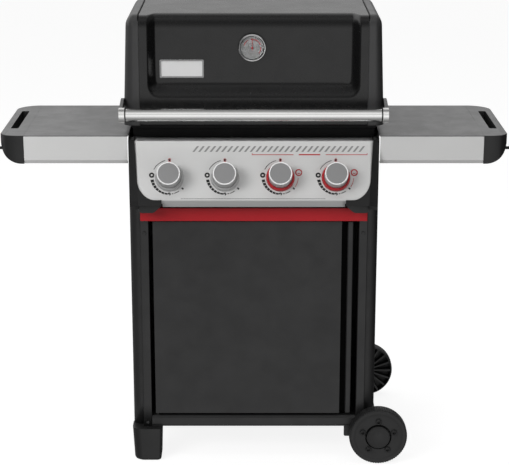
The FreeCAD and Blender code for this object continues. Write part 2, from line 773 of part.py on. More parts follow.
def cooking_grates():
    """Two cast grates side by side on the firebox ledges."""
    front = firebox_chest + casting_wall + seat_gap
    back = firebox_rear - casting_wall - seat_gap
    height = (grate_z, grate_z + grate_bar)
    frame = 9
    bar = 7
    outer = firebox_half - casting_wall - seat_gap
    bars = [
        block("grate_front", (1, outer), (front, front + frame), height),
        block("grate_back", (1, outer), (back - frame, back), height),
        block("grate_middle", (1, outer), ((front + back) / 2 - 4, (front + back) / 2 + 4),
              (grate_z, grate_z + grate_bar - 2)),
    ]
    count = int((outer.value - 1 - bar) / grate_pitch.value)
    step = (outer - 1 - bar) / count
    for index in range(count + 1):
        low = step * index + 1
        bars.append(block("grate_rod", (low, low + bar), (front, back), height))
    both_sides("cooking_grate", fused("cooking_grate_right", bars))


def warming_rack():
    """Wire rack standing on the rear rim of the firebox."""
    back = firebox_rear
    front = back - rack_depth
    half = firebox_half - 25
    wire = rack_wire
    wires = [
        block("rack_front", (-half, half), (front, front + wire), (rack_z, rack_z + wire)),
        block("rack_back", (-half, half), (back - wire, back), (rack_z, rack_z + wire)),
    ]
    count = 24
    for index in range(count + 1):
        x = (half * 2 - wire) * index / count - half
        wires.append(block("rack_rod", (x, x + wire), (front, back), (rack_z, rack_z + wire)))
    for low in (-half, half - wire):
        wires.append(block("rack_leg", (low, low + wire), (back - wire, back), (firebox_rim, rack_z)))
    sub_part("warming_rack", fused("rack", wires))


def grease_parts():
    """Sliding grease tray on the side panels' runners, with a catch pan in it."""
    flange = 14
    front = firebox_front - 20
    half = tray_half - flange
    bottom = tray_z - tray_height
    outer = block("tray_box", (-half, half), (front, tray_back), (bottom, tray_z))
    plate = block("tray_flanges", (-tray_half, tray_half), (front, tray_back),
                  (tray_z, tray_z + panel_sheet))
    inner = block("tray_hollow", (panel_sheet - half, half - panel_sheet),
                  (front + panel_sheet, tray_back - panel_sheet), (bottom + panel_sheet, tray_z + 2))
    sub_part("grease_tray", cut("tray", fused("tray_blank", [outer, plate]), [inner]))
    seat = bottom + panel_sheet
    pan = block("pan_box", (-70, 70), (-10, 90), (seat, seat + 18))
    hollow = block("pan_hollow", (-69, 69), (-9, 89), (seat + 1, seat + 19))
    sub_part("catch_pan", cut("pan", pan, [hollow]))


# ---------------------------------------------------------------- gas parts

def gas_parts():
    """Manifold on its bracket, four valves that embrace it, and the inlet pipe."""
    run = knob_spacing * 1.5 + 30
    first = knob_middle - run
    inlet_x = first - inlet_offset
    tube = rod("manifold_tube", "X", (first, manifold_y, manifold_z), manifold_radius, run * 2)
    bar = block("manifold_bracket", (knob_xs[-1] + valve_half, strip_in),
                (manifold_y - 6, cart_front + leg_return), (manifold_z - 3, manifold_z + 3))
    sub_part("gas_manifold", fused("manifold", [tube, bar]))
    valves = []
    for x in knob_xs:
        body = block("valve_block", (-valve_half, valve_half), (manifold_up, knob_height + valve_half),
                     (-(valve_start + valve_length), -valve_start))
        seat = rod("stem_seat", "Z", (0, knob_height, -(valve_start + push_travel * 3)),
                   stem_radius + running_gap, push_travel * 3 + 1)
        saddle = rod("manifold_saddle", "X", (-valve_half - 1, manifold_up, -manifold_in),
                     manifold_radius, valve_half * 2 + 2)
        valve = on_panel(cut("valve_body", body, [seat, saddle]), x)
        nozzle_start = knob_y + (valve_start + valve_length * 0.7) * lean_cosine
        nozzle = rod("valve_nozzle", "Y", (x, nozzle_start, burner_z), burner_radius / 2,
                     burner_front + 2 - nozzle_start)
        valves.append(fused("gas_valve", [valve, nozzle]))
    sub_part("gas_valves", grouped("valves", valves))
    shoulder = inlet_end - inlet_length
    inlet = [
        block("inlet_elbow", (inlet_x - 11, first), (manifold_y - 11, manifold_y + 11),
              (manifold_z - 11, manifold_z + 11)),
        rod("inlet_pipe", "Y", (inlet_x, manifold_y, manifold_z), 6, shoulder - manifold_y),
        rod("inlet_hexagon", "Y", (inlet_x, shoulder - 8, manifold_z), inlet_radius + 3, 8),
        rod("inlet_nipple", "Y", (inlet_x, shoulder, manifold_z), inlet_radius, inlet_length),
    ]
    sub_part("gas_inlet", fused("inlet", inlet))


def igniter():
    """Ignition module on the return flange of the right leg."""
    case = block("igniter_case", (strip_in - 38, strip_in), (cart_front + 4, cart_front + leg_return),
                 (knob_z - 30, knob_z + 30))
    sub_part("igniter_module", case)


# ---------------------------------------------------------------- control panel

def control_panel():
    """Bent sheet: ledge, leaning face and rolled lower lip, pierced for the stems."""
    inward_y = panel_sheet * lean_cosine
    inward_z = panel_sheet * lean_sine
    lip_y = face_foot_y + 8
    lip_z = face_foot_z - panel_lip + 4
    outline = [
        (ledge_back, panel_top_z), (panel_top_y, panel_top_z), (face_foot_y, face_foot_z),
        (lip_y, lip_z), (lip_y + 20, lip_z - 4), (lip_y + 20, lip_z - 4 + panel_sheet),
        (lip_y + panel_sheet, lip_z + panel_sheet),
        (face_foot_y + inward_y, face_foot_z - inward_z / 2),
        (panel_top_y + inward_y, panel_top_z - panel_sheet), (ledge_back, panel_top_z - panel_sheet),
    ]
    face = padded("panel_face", "YZ", outline, -panel_half, panel_half * 2)
    holes = [at_knob(rod("stem_hole", "Z", (0, 0, 0), stem_radius + 3, 20), x, -10) for x in knob_xs]
    sub_part("control_panel", cut("panel", face, holes))


def panel_frames():
    """Moulded cheeks beside the panel, sweeping under its lower corners to a small foot."""
    cheek_outline = [
        (panel_top_y - frame_proud, panel_top_z + frame_proud),
        (face_foot_y - frame_proud, face_foot_z), (face_foot_y - frame_proud + 2, face_foot_z - 14),
        (face_foot_y + 24, face_foot_z - panel_lip - 4), (band_front, face_foot_z - panel_lip - 4),
        (band_front, panel_top_z + frame_proud),
    ]
    cheek = padded("frame_cheek", "YZ", cheek_outline, panel_half, cart_half - panel_half)
    deep = panel_lip * 0.6
    square = block("frame_corner", (frame_reach, panel_half), (-deep, panel_round), (0, frame_proud))
    centre = panel_half - panel_round
    sweep = [
        rod("corner_round", "Z", (centre, panel_round, -1), panel_round, frame_proud + 2),
        block("corner_inner", (frame_reach - 1, centre), (0, panel_round + 1), (-1, frame_proud + 1)),
    ]
    corner = on_panel(cut("frame_sweep", square, sweep))
    shin = cart_front - bar_depth
    foot_outline = [
        (frame_foot_reach, bar_bottom + bar_height), (frame_foot_reach + 8, frame_foot_bottom),
        (strip_out, frame_foot_bottom), (strip_out + 8, bar_bottom + bar_height),
        (panel_half, face_foot_z - panel_lip - 4), (panel_half, face_foot_z - panel_lip + 8),
        (frame_reach + 6, face_foot_z - panel_lip + 8), (frame_reach + 6, face_foot_z - panel_lip),
    ]
    shoe = padded("frame_foot", "XZ", foot_outline, -shin, -(face_foot_y + 30) + shin)
    both_sides("panel_frame", fused("panel_frame_right", [cheek, corner, shoe]))


def bezel():
    """Tapered ring that the knob sinks into."""
    inner = knob_radius + bezel_gap
    outline = [(inner, 0), (bezel_radius, 0), (bezel_radius - 1, bezel_height - 2),
               (bezel_radius - 2.5, bezel_height), (inner, bezel_height)]
    return turned("bezel_ring", outline)


def knob():
    """Round knob with a bright front ring, a sunk cap and a bored hub."""
    bore = stem_radius + running_gap
    front = knob_length
    outline = [
        (bore, knob_rise), (bore + 5, knob_rise), (bore + 5, front - 8), (knob_radius - 4, front - 8),
        (knob_radius - 4, knob_rise), (knob_radius - 1, knob_rise), (knob_radius, front - 2),
        (knob_radius - 1.5, front), (knob_radius - 3.5, front), (knob_radius - 4, front - 1),
        (0, front - 1), (0, front - 6), (bore, front - 6),
    ]
    return turned("knob_body", outline)


def knobs():
    """Four knobs, each on the stem of its valve, in two plain and two red bezels."""
    stem_back = -(valve_start + push_travel * 2)
    stem_front = knob_length - 6 - seat_gap
    rings = []
    for index, x in enumerate(knob_xs):
        number = index + 1
        sub_part("knob_%d" % number, at_knob(knob(), x))
        stem = turned("stem_body", [(0, stem_back), (stem_radius, stem_back), (stem_radius, stem_front),
                                    (0, stem_front)])
        sub_part("valve_stem_%d" % number, at_knob(stem, x))
        rings.append(at_knob(bezel(), x))
    sub_part("knob_bezels_grey", grouped("grey_bezels", rings[:2]))
    sub_part("knob_bezels_red", grouped("red_bezels", rings[2:]))


# ---------------------------------------------------------------- side tables

def table_tops():
    """Sheet top with rear and inner flanges; the inner one is bolted to the cart side."""
    plate = block("table_plate", (cart_half, table_joint), (table_front, table_back),
                  (table_top_z - sheet_wall, table_top_z))
    rear = block("table_rear_flange", (cart_half, table_joint), (table_back - sheet_wall, table_back),
                 (table_top_z - 40, table_top_z))
    inner = block("table_inner_flange", (cart_half, cart_half + sheet_wall),
                  (band_front + 2, table_back), (table_under, table_top_z))
    both_sides("table_top", fused("table_top_right", [plate, rear, inner]))


def table_aprons():
    """Bright front apron with a lip turned under."""
    top = table_top_z - sheet_wall
    face = table_front
    wall = panel_sheet
    outline = [
        (face + 28, top), (face, top), (face, table_under + 10), (face + 6, table_under),
        (face + 24, table_under), (face + 24, table_under + wall),
        (face + 6 + wall, table_under + wall),
        (face + wall, table_under + 10 + wall / 2), (face + wall, top - wall), (face + 28, top - wall),
    ]
    start = cart_half + sheet_wall
    both_sides("table_apron", padded("apron", "YZ", outline, start, table_joint - start))


def table_ends():
    """Moulded outer end with a grip slot, rounded in plan and underneath, and its tool hook."""
    plan = [(table_joint, table_front), (table_outer, table_front), (table_outer, table_back),
            (table_joint, table_back)]
    height = table_top_z - table_under
    slab = padded("end_plan", "XY", plan, table_under, height,
                  [((1,), end_round_front), ((2,), end_round_rear)])
    side = [(table_joint, table_under), (table_outer, table_under), (table_outer, table_top_z),
            (table_joint, table_top_z)]
    barrel = padded("end_section", "XZ", side, -table_back, table_depth,
                    [((1,), end_round_under), ((2,), 5)])
    solid = doc.addObject("Part::Common", "end_solid")
    solid.Base = slab
    solid.Tool = barrel
    far = slot_near + slot_width
    slot_plan = [(slot_near, slot_front), (far, slot_front), (far, slot_front + slot_length),
                 (slot_near, slot_front + slot_length)]
    slot = padded("grip_slot", "XY", slot_plan, table_under - 1, height + 2, [((0, 1, 2, 3), 6)])
    hollow = block("end_hollow", (table_joint - 1, slot_near - casting_wall),
                   (table_front + casting_wall, table_back - casting_wall),
                   (table_under - 1, table_top_z - casting_wall))
    end = cut("table_end_right", solid, [slot, hollow])
    both_sides("table_end", end)
    root = far + casting_wall
    tip = table_outer + hook_reach
    peg = rod("hook_peg", "X", (root, hook_y, hook_z), hook_radius, tip - root)
    point = rod("hook_point", "Z", (tip - hook_radius, hook_y, hook_z), hook_radius, 14)
    hook = cut("tool_hook", fused("hook_blank", [peg, point]), [end])
    sub_part("tool_hooks", grouped("hooks", [hook, mirrored("tool_hook_left", hook)]))


# ---------------------------------------------------------------- lid

def lid_outline(front, draw_in, rise=0):
    """Side view of the lid from a front plane, drawn in by a wall thickness."""
    return [
        (front + draw_in, lid_bottom), (front + draw_in, lid_top + rise - draw_in),
        (lid_break, lid_top + rise - draw_in), (lid_rear + rise - draw_in, lid_shoulder),
        (lid_rear + rise - draw_in, lid_bottom),
    ]


def lid_form(name, front, draw_in, x, rise=0):
    """A solid of the lid's side view between two X planes, with its top edges rounded."""
    outline = lid_outline(front, draw_in, rise)
    return padded(name, "YZ", outline, x[0], x[1] - x[0],
                  [((1,), lid_front_round - draw_in), ((2, 3), lid_rear_round - draw_in)])


def lid_shell():
    """Centre sheet of the lid, its front pressed in to a recess between the cast ends."""
    none = as_size(0)
    wall = sheet_wall
    span = (-recess_half, recess_half)
    skirt = block("skirt", (-lid_seam, lid_seam), (lid_front, recess_floor + wall),
                  (lid_bottom, recess_bottom))
    outer = fused("shell_outside", [
        lid_form("left_cheek", lid_front, none, (-lid_seam, -recess_half)),
        lid_form("right_cheek", lid_front, none, (recess_half, lid_seam)),
        lid_form("recessed_middle", recess_floor, none, span),
        skirt,
    ])
    edge = recess_half + wall
    inner = fused("shell_inside", [
        lid_form("left_cheek_inside", lid_front, wall, (-lid_seam - 1, -edge)),
        lid_form("right_cheek_inside", lid_front, wall, (edge, lid_seam + 1)),
        lid_form("middle_inside", recess_floor, wall, (-lid_seam, lid_seam)),
        block("skirt_inside", (-lid_seam, lid_seam), (lid_front + wall, recess_floor + wall * 2),
              (lid_bottom - 1, recess_bottom - wall)),
    ])
    probe = rod("probe_hole", "Y", (gauge_x, recess_floor - 1, gauge_z), 3.3, wall + 2)
    hollow = cut("open_shell", outer, [inner, probe])
    sub_part("lid_shell", hollow)


def lid_ends():
    """Cast end of the lid with the lug that turns on the pivot pin."""
    none = as_size(0)
    outer = lid_form("end_outside", lid_front, none, (lid_seam, lid_half), end_proud)
    inside = (lid_seam - 1, lid_half - casting_wall)
    inner = lid_form("end_inside", lid_front, casting_wall, inside, end_proud)
    far = ear_near + ear_wall
    notch = block("ear_notch", (ear_near - 3, far + 1),
                  (lid_rear - casting_wall * 2, lid_rear + 10),
                  (lid_bottom - 1, hinge_z + hinge_boss * 2))
    lug_outline = [
        (lid_rear - casting_wall, hinge_z - 6), (hinge_y, hinge_z - hinge_boss),
        (hinge_y + hinge_boss, hinge_z - hinge_boss), (hinge_y + hinge_boss, hinge_z + hinge_boss),
        (lid_rear - casting_wall, hinge_z + 30),
    ]
    lug = padded("hinge_lug", "YZ", lug_outline, far + 2, ear_wall, [((2, 3), hinge_boss - 1)])
    bore = rod("lug_bore", "X", (far + 1, hinge_y, hinge_z), hinge_pin + running_gap, ear_wall + 2)
    whole = fused("end_with_lug", [cut("hollow_end", outer, [inner, notch]), lug])
    both_sides("lid_end", cut("lid_end_right", whole, [bore]))
    start = ear_near - 2
    pin = rod("pivot_pin", "X", (start, hinge_y, hinge_z), hinge_pin, ear_wall * 2 + 8)
    sub_part("lid_hinge_pins", grouped("hinge_pins", [pin, mirrored("pivot_pin_left", pin)]))


def lid_handle():
    """Tube handle between two collars whose arms reach back to the lid's sides."""
    outer = rod("tube_outside", "X", (-handle_half, handle_y, handle_z), handle_radius, handle_half * 2)
    inner = rod("tube_inside", "X", (-handle_half, handle_y, handle_z),
                handle_radius - handle_wall, handle_half * 2)
    sub_part("lid_handle_tube", cut("handle_tube", outer, [inner]))
    collar = rod("collar", "X", (handle_half, handle_y, handle_z), collar_radius, collar_length)
    arm_outline = [
        (handle_y, handle_z - 12), (lid_front, handle_z + 4), (lid_front + 26, handle_z + 10),
        (lid_front + 26, handle_z + 34), (lid_front, handle_z + 34), (handle_y, handle_z + 14),
    ]
    arm = padded("handle_arm", "YZ", arm_outline, lid_half, handle_half + collar_length - lid_half,
                 [((3, 4), 8)])
    bracket = fused("handle_bracket", [collar, arm])
    left = mirrored("handle_bracket_left", bracket)
    sub_part("handle_brackets", grouped("brackets_pair", [bracket, left]))


def thermometer():
    """Dial thermometer on the recess floor with its probe through the lid."""
    face = gauge_height
    lip = gauge_radius - 5
    probe = 3
    reach = 60
    outline = [
        (0, -reach), (probe, -reach), (probe, 0), (gauge_radius - 2, 0), (gauge_radius, 3),
        (gauge_radius, face - 4), (gauge_radius - 2, face), (lip, face - 1), (lip, face - 8),
        (0, face - 8),
    ]
    bezel_ring = facing_front(turned("gauge_case", outline), gauge_x, recess_floor, gauge_z)
    sub_part("thermometer_bezel", bezel_ring)
    plate = turned("dial_plate", [(0, 0), (lip - seat_gap, 0), (lip - seat_gap, 1), (0, 1)])
    sub_part("thermometer_dial", facing_front(plate, gauge_x, recess_floor - face + 8, gauge_z))
    hand_outline = [(-1.6, -6), (1.6, -6), (0.4, lip - 7), (-0.4, lip - 7)]
    hand = padded("gauge_hand", "XY", hand_outline, 0, 0.8)
    sub_part("thermometer_needle", facing_front(hand, gauge_x, recess_floor - face + 6.4, gauge_z))
    glass = turned("gauge_glass", [(0, 0), (lip - seat_gap, 0), (lip - seat_gap, 1.5), (0, 1.5)])
    sub_part("thermometer_lens", facing_front(glass, gauge_x, recess_floor - face + 3.5, gauge_z))


def blank_plate():
    """Plain raised plate at the left of the recess."""
    low = plate_x - plate_width / 2
    under = plate_z - plate_height / 2
    outline = [(low, under), (low + plate_width, under), (low + plate_width, under + plate_height),
               (low, under + plate_height)]
    plate = padded("plate", "XZ", outline, -recess_floor, plate_wall, [((0, 1, 2, 3), 2)])
    sub_part("lid_plate", plate)


# ---------------------------------------------------------------- build and write

def build():
    cart_sides()
    cart_panels()
    crossbar()
    feet()
    axle()
    wheels()
    screw_heads()
    door()
    firebox()
    burners()
    heat_tents()
    cooking_grates()
    warming_rack()
    grease_parts()
    gas_parts()
    igniter()
    control_panel()
    panel_frames()
    knobs()
    table_tops()
    table_aprons()
    table_ends()
    lid_shell()
    lid_ends()
    lid_handle()
    thermometer()
    blank_plate()
    doc.recompute()


def check():
    """Stop if any object failed or any piece is missing or invalid."""
    for obj in doc.Objects:
        if "Invalid" in obj.State or "Error" in obj.State:
            raise RuntimeError("%s failed: %s" % (obj.Label, obj.State))
    for piece in sub_parts:
        if piece.Shape.isNull() or not piece.Shape.isValid() or not piece.Shape.Solids:
            raise RuntimeError(piece.Label + " has no valid solid")


def write():
    os.makedirs("parts", exist_ok=True)
    for piece in sub_parts:
        piece.Shape.exportStep("parts/%s.step" % piece.Label)
    print("%d pieces written" % len(sub_parts))


build()
check()
write()
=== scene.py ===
"""Looks of a four-burner gas barbecue grill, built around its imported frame."""

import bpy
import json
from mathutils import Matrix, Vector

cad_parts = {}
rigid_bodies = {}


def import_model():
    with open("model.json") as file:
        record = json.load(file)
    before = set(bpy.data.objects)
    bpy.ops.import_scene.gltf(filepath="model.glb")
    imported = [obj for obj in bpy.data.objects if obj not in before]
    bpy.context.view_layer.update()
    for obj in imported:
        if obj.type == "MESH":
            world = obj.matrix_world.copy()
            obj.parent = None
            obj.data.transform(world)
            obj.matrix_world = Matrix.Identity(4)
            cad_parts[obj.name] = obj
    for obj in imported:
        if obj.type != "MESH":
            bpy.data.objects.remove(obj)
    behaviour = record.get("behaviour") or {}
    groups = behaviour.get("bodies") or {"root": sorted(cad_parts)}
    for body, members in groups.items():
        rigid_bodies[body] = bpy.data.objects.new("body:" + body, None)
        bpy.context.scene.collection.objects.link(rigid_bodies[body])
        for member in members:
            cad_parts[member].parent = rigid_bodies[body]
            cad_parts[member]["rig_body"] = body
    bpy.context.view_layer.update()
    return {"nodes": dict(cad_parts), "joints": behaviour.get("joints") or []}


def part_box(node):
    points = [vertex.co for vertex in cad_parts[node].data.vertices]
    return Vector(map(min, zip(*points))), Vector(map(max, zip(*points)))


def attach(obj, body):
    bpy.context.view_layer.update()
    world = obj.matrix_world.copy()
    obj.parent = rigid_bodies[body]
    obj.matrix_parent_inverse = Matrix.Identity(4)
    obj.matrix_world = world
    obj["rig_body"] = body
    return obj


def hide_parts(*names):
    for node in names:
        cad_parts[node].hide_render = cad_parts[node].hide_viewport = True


bl_info = {
    "name": "Gas Barbecue Grill",
    "version": (1, 0, 0),
    "blender": (4, 5, 0),
    "location": "View3D > Sidebar > Grill",
    "description": "Builds the finished pieces of a cabinet-cart gas barbecue grill",
    "category": "Object",
}

import bmesh
import bpy
import json
import math
import numpy as np
from mathutils import Vector

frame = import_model()


def body_of_node(node):
    return frame["nodes"][node]["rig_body"]


# ---------------------------------------------------------------- sizes a user would change

def length(name, default, description):
    return bpy.props.FloatProperty(name=name, description=description, default=default, unit="LENGTH",
                                   precision=4)


def degrees(name, default, description):
    return bpy.props.FloatProperty(name=name, description=description, default=math.radians(default),
                                   subtype="ANGLE")


def colour(name, default, description):
    return bpy.props.FloatVectorProperty(name=name, description=description, default=default, size=3,
                                         min=0.0, max=1.0, subtype="COLOR")


class GrillLidSettings(bpy.types.PropertyGroup):
    top_break: length("Top break", 0.130, "Y where the flat top ends")
    shoulder: length("Shoulder", 1.118, "Height of the top of the upright rear face")
    front_round: length("Front round", 0.031, "Radius of the front top edge")
    rear_round: length("Rear round", 0.070, "Radius of the rear top edges")
    recess_round: length("Recess round", 0.036, "Radius of the recessed sheet's top edge")
    recess_depth: length("Recess depth", 0.0315, "Depth of the front recess")
    recess_half: length("Recess half width", 0.2665, "Half width of the front recess")
    recess_bottom: length("Recess bottom", 1.0425, "Height of the middle of the recess's lower wall")
    recess_corner: length("Recess corner", 0.021, "Radius of the recess's lower corners")
    seam: length("Seam", 0.2970, "Half width of the centre sheet")
    edge: length("End edge", 0.027, "Rounding of the cast ends' outer edges")
    flare: length("Flare", 0.0037, "How far each end stands past its core at the foot")
    draft: length("Draft", 0.0108, "How far each end leans in at the top")


class GrillPanelSettings(bpy.types.PropertyGroup):
    lean: degrees("Lean", 27.2, "Lean of the panel face from upright")
    face: length("Face height", 0.160, "Height of the face along its slope")
    fold: length("Fold", 0.007, "Radius of the panel's folds")
    dial: length("Dial radius", 0.0455, "Radius of the printed scale around each knob")
    knob_up: length("Knob height", 0.061, "Knob centres above the lower edge")
    lip_half: length("Lip half width", 0.2385, "Half width of the rolled lip between the corner pieces")


class GrillWheelSettings(bpy.types.PropertyGroup):
    tread_ribs: bpy.props.IntProperty(name="Tread ribs", description="Ribs around the tread",
                                      default=72)
    fins: bpy.props.IntProperty(name="Fins", description="Fins on the inner side", default=18)
    boss_circle: length("Boss circle", 0.0450, "Radius of the circle of bosses")


class GrillFinishSettings(bpy.types.PropertyGroup):
    enamel: colour("Enamel", (0.005, 0.005, 0.0052), "Lid enamel")
    casting: colour("Casting", (0.032, 0.032, 0.0325), "Cast lid ends")
    black_paint: colour("Black paint", (0.017, 0.017, 0.0173), "Cart paint")
    plastic: colour("Plastic", (0.013, 0.013, 0.0132), "Moulded parts")
    red: colour("Red", (0.40, 0.015, 0.021), "Crossbar and bezels")
    silver: colour("Silver", (0.60, 0.60, 0.595), "Control panel and aprons")
    # Table tops: their own dark textured tone, set lighter as painted sheen from above.
    table: colour("Table", (0.098, 0.098, 0.0985), "Table tops")


class GrillStudioSettings(bpy.types.PropertyGroup):
    eye: bpy.props.FloatVectorProperty(name="Eye", description="Camera place", size=3, unit="LENGTH",
                                       default=(0.0019, -4.2875, 1.8434))
    pitch: degrees("Pitch", 16.2, "Camera tilt below level")
    focal: bpy.props.FloatProperty(name="Focal length", description="Lens in millimetres",
                                   default=112.45)


# ---------------------------------------------------------------- finishes

def shader(name):
    """A new material, its nodes, links, shader and Object coordinates."""
    material = bpy.data.materials.new(name)
    material.use_nodes = True
    nodes = material.node_tree.nodes
    surface = nodes["Principled BSDF"]
    place = nodes.new("ShaderNodeTexCoord").outputs["Object"]
    return material, nodes, material.node_tree.links, surface, place


def noise(nodes, links, place, scale, detail=3.0, stretch=(1, 1, 1)):
    mapping = nodes.new("ShaderNodeMapping")
    mapping.inputs["Scale"].default_value = stretch
    links.new(place, mapping.inputs["Vector"])
    texture = nodes.new("ShaderNodeTexNoise")
    texture.inputs["Scale"].default_value = scale
    texture.inputs["Detail"].default_value = detail
    links.new(mapping.outputs["Vector"], texture.inputs["Vector"])
    return texture.outputs["Fac"]


def ranged(nodes, links, value, low, high):
    """Carries the middle of a noise value, 0.3 to 0.7, to a range."""
    node = nodes.new("ShaderNodeMapRange")
    node.inputs["From Min"].default_value = 0.3
    node.inputs["From Max"].default_value = 0.7
    node.inputs["To Min"].default_value = low
    node.inputs["To Max"].default_value = high
    links.new(value, node.inputs["Value"])
    return node.outputs["Result"]


def finish(name, base, rough, grain=0.0006, depth=0.1, metal=0.0, mottle=0.08, spread=0.05,
           stretch=(1, 1, 1), coat=0.0, specular=0.5):
    """Painted, moulded or metal finish: slow colour drift, roughness drift and a fine grain.

    The grain is a noise bump of the given size in metres, stretched for brushed metal.
    """
    material, nodes, links, surface, place = shader(name)
    surface.inputs["Metallic"].default_value = metal
    surface.inputs["Coat Weight"].default_value = coat
    surface.inputs["Coat Roughness"].default_value = 0.12
    surface.inputs["Specular IOR Level"].default_value = specular
    drift = noise(nodes, links, place, 7.0)
    ramp = nodes.new("ShaderNodeValToRGB")
    for stop, share, spot in ((0, 1 - mottle, 0.3), (1, 1 + mottle, 0.7)):
        ramp.color_ramp.elements[stop].position = spot
        ramp.color_ramp.elements[stop].color = [min(1.0, channel * share) for channel in base] + [1.0]
    links.new(drift, ramp.inputs["Fac"])
    links.new(ramp.outputs["Color"], surface.inputs["Base Color"])
    fine = noise(nodes, links, place, 1.0 / grain, 2.0, stretch)
    patchy = noise(nodes, links, place, 23.0, 4.0, stretch if metal else (1, 1, 1))
    links.new(ranged(nodes, links, patchy, rough - spread, rough + spread), surface.inputs["Roughness"])
    bump = nodes.new("ShaderNodeBump")
    bump.inputs["Strength"].default_value = depth
    bump.inputs["Distance"].default_value = grain * 0.5
    links.new(fine, bump.inputs["Height"])
    links.new(bump.outputs["Normal"], surface.inputs["Normal"])
    return material


def clear_glass(name):
    material, nodes, links, surface, place = shader(name)
    surface.inputs["Base Color"].default_value = (0.95, 0.97, 0.97, 1)
    surface.inputs["IOR"].default_value = 1.1
    surface.inputs["Transmission Weight"].default_value = 1.0
    haze = noise(nodes, links, place, 160.0)
    links.new(ranged(nodes, links, haze, 0.02, 0.06), surface.inputs["Roughness"])
    return material


def make_finishes(look):
    """Every finish of the grill, by a plain name."""
    steel = (0.62, 0.62, 0.61)
    return {
        "enamel": finish("lid_enamel", look.enamel, 0.27, 0.0009, 0.05, mottle=0.05, spread=0.03),
        "cast": finish("cast_black", look.casting, 0.36, 0.0007, 0.10, mottle=0.05, spread=0.03),
        "sooty": finish("firebox_black", look.enamel, 0.5, 0.0007, 0.14, mottle=0.1, specular=0.12),
        "paint": finish("black_paint", look.black_paint, 0.44, 0.0005, 0.12),
        "plastic": finish("moulded_black", look.plastic, 0.46, 0.0006, 0.22),
        "rubber": finish("wheel_plastic", look.black_paint, 0.52, 0.0008, 0.25),
        "red_paint": finish("red_paint", look.red, 0.45, 0.0005, 0.10, specular=0.2),
        "red_gloss": finish("red_bezel", look.red, 0.26, 0.0008, 0.05),
        "silver": finish("panel_silver", look.silver, 0.42, 0.0004, 0.07, metal=0.12, mottle=0.02,
                         spread=0.03, specular=0.35),
        # Table grey: the tops' own dark textured tone, lightened to also stand for the sheen seen on
        # them from above (painted sheen).
        "table": finish("table_grey", look.table, 0.40, 0.0011, 0.35, mottle=0.10),
        "bright": finish("bright_steel", (0.72, 0.72, 0.71), 0.20, 0.0009, 0.015, metal=1.0,
                         mottle=0.02, spread=0.02, stretch=(0.03, 1, 1)),
        "chrome": finish("chrome_ring", (0.80, 0.80, 0.80), 0.10, 0.0009, 0.02, metal=1.0, mottle=0.02,
                         spread=0.02),
        "knob": finish("knob_silver", (0.46, 0.46, 0.46), 0.34, 0.0006, 0.06, metal=0.35, mottle=0.03),
        "ring": finish("knob_ring", (0.94, 0.94, 0.94), 0.24, 0.0006, 0.02, metal=0.15, mottle=0.02,
                       spread=0.03),
        "ledge": finish("ledge_steel", (0.62, 0.62, 0.62), 0.36, 0.0004, 0.05, metal=0.55, mottle=0.02,
                        spread=0.03),
        "cap": finish("knob_cap", (0.26, 0.26, 0.262), 0.45, 0.0005, 0.10, metal=0.2, mottle=0.03),
        "plated": finish("plated_steel", steel, 0.30, 0.0005, 0.08, metal=1.0),
        "heat_steel": finish("heat_steel", (0.40, 0.39, 0.38), 0.42, 0.0007, 0.15, metal=1.0,
                             mottle=0.2),
        "iron": finish("grate_iron", (0.014, 0.014, 0.014), 0.55, 0.0012, 0.4, mottle=0.25),
        "tray": finish("tray_steel", (0.36, 0.36, 0.37), 0.38, 0.0006, 0.12, metal=0.9, mottle=0.12),
        "foil": finish("foil", (0.80, 0.80, 0.81), 0.25, 0.002, 0.35, metal=1.0),
        "brass": finish("valve_brass", (0.62, 0.44, 0.18), 0.28, 0.0006, 0.08, metal=1.0, mottle=0.12),
        "dial": finish("dial_white", (0.31, 0.30, 0.30), 0.5, 0.0004, 0.03, mottle=0.02),
        "ink": finish("black_print", (0.012, 0.012, 0.012), 0.5, 0.0004, 0.05),
        "grey_ink": finish("grey_print", (0.23, 0.23, 0.23), 0.5, 0.0004, 0.05),
        "red_ink": finish("red_print", (0.42, 0.012, 0.02), 0.45, 0.0004, 0.05),
        "plate": finish("plate_silver", (0.66, 0.66, 0.66), 0.40, 0.0005, 0.05, metal=0.1, mottle=0.03,
                        stretch=(0.05, 1, 1)),
        "glass": clear_glass("gauge_glass"),
        # Painted shade: a near-black, hardly reflecting finish laid on the door grip's groove and the
        # handle's collar gaps, where there is only shadow.
        "shade": finish("groove_shade", (0.002, 0.002, 0.002), 0.7, 0.0008, 0.05, specular=0.05),
    }


FINISHES = {}


# ---------------------------------------------------------------- shapes from arrays

def grid_faces(rows, columns, close_rows=False, close_columns=False):
    """Quads between neighbouring points of a grid, joined round where it is closed."""
    row = np.arange(rows if close_rows else rows - 1)
    column = np.arange(columns if close_columns else columns - 1)
    i, j = np.meshgrid(row, column, indexing="ij")
    k, n = (i + 1) % rows, (j + 1) % columns
    quads = np.stack([i * columns + j, i * columns + n, k * columns + n, k * columns + j], -1)
    return quads.reshape(-1, 4)


def surface(points, close_rows=False, close_columns=False):
    """(points, faces) of a grid of shape (rows, columns, 3)."""
    rows, columns = points.shape[:2]
    return points.reshape(-1, 3), grid_faces(rows, columns, close_rows, close_columns)


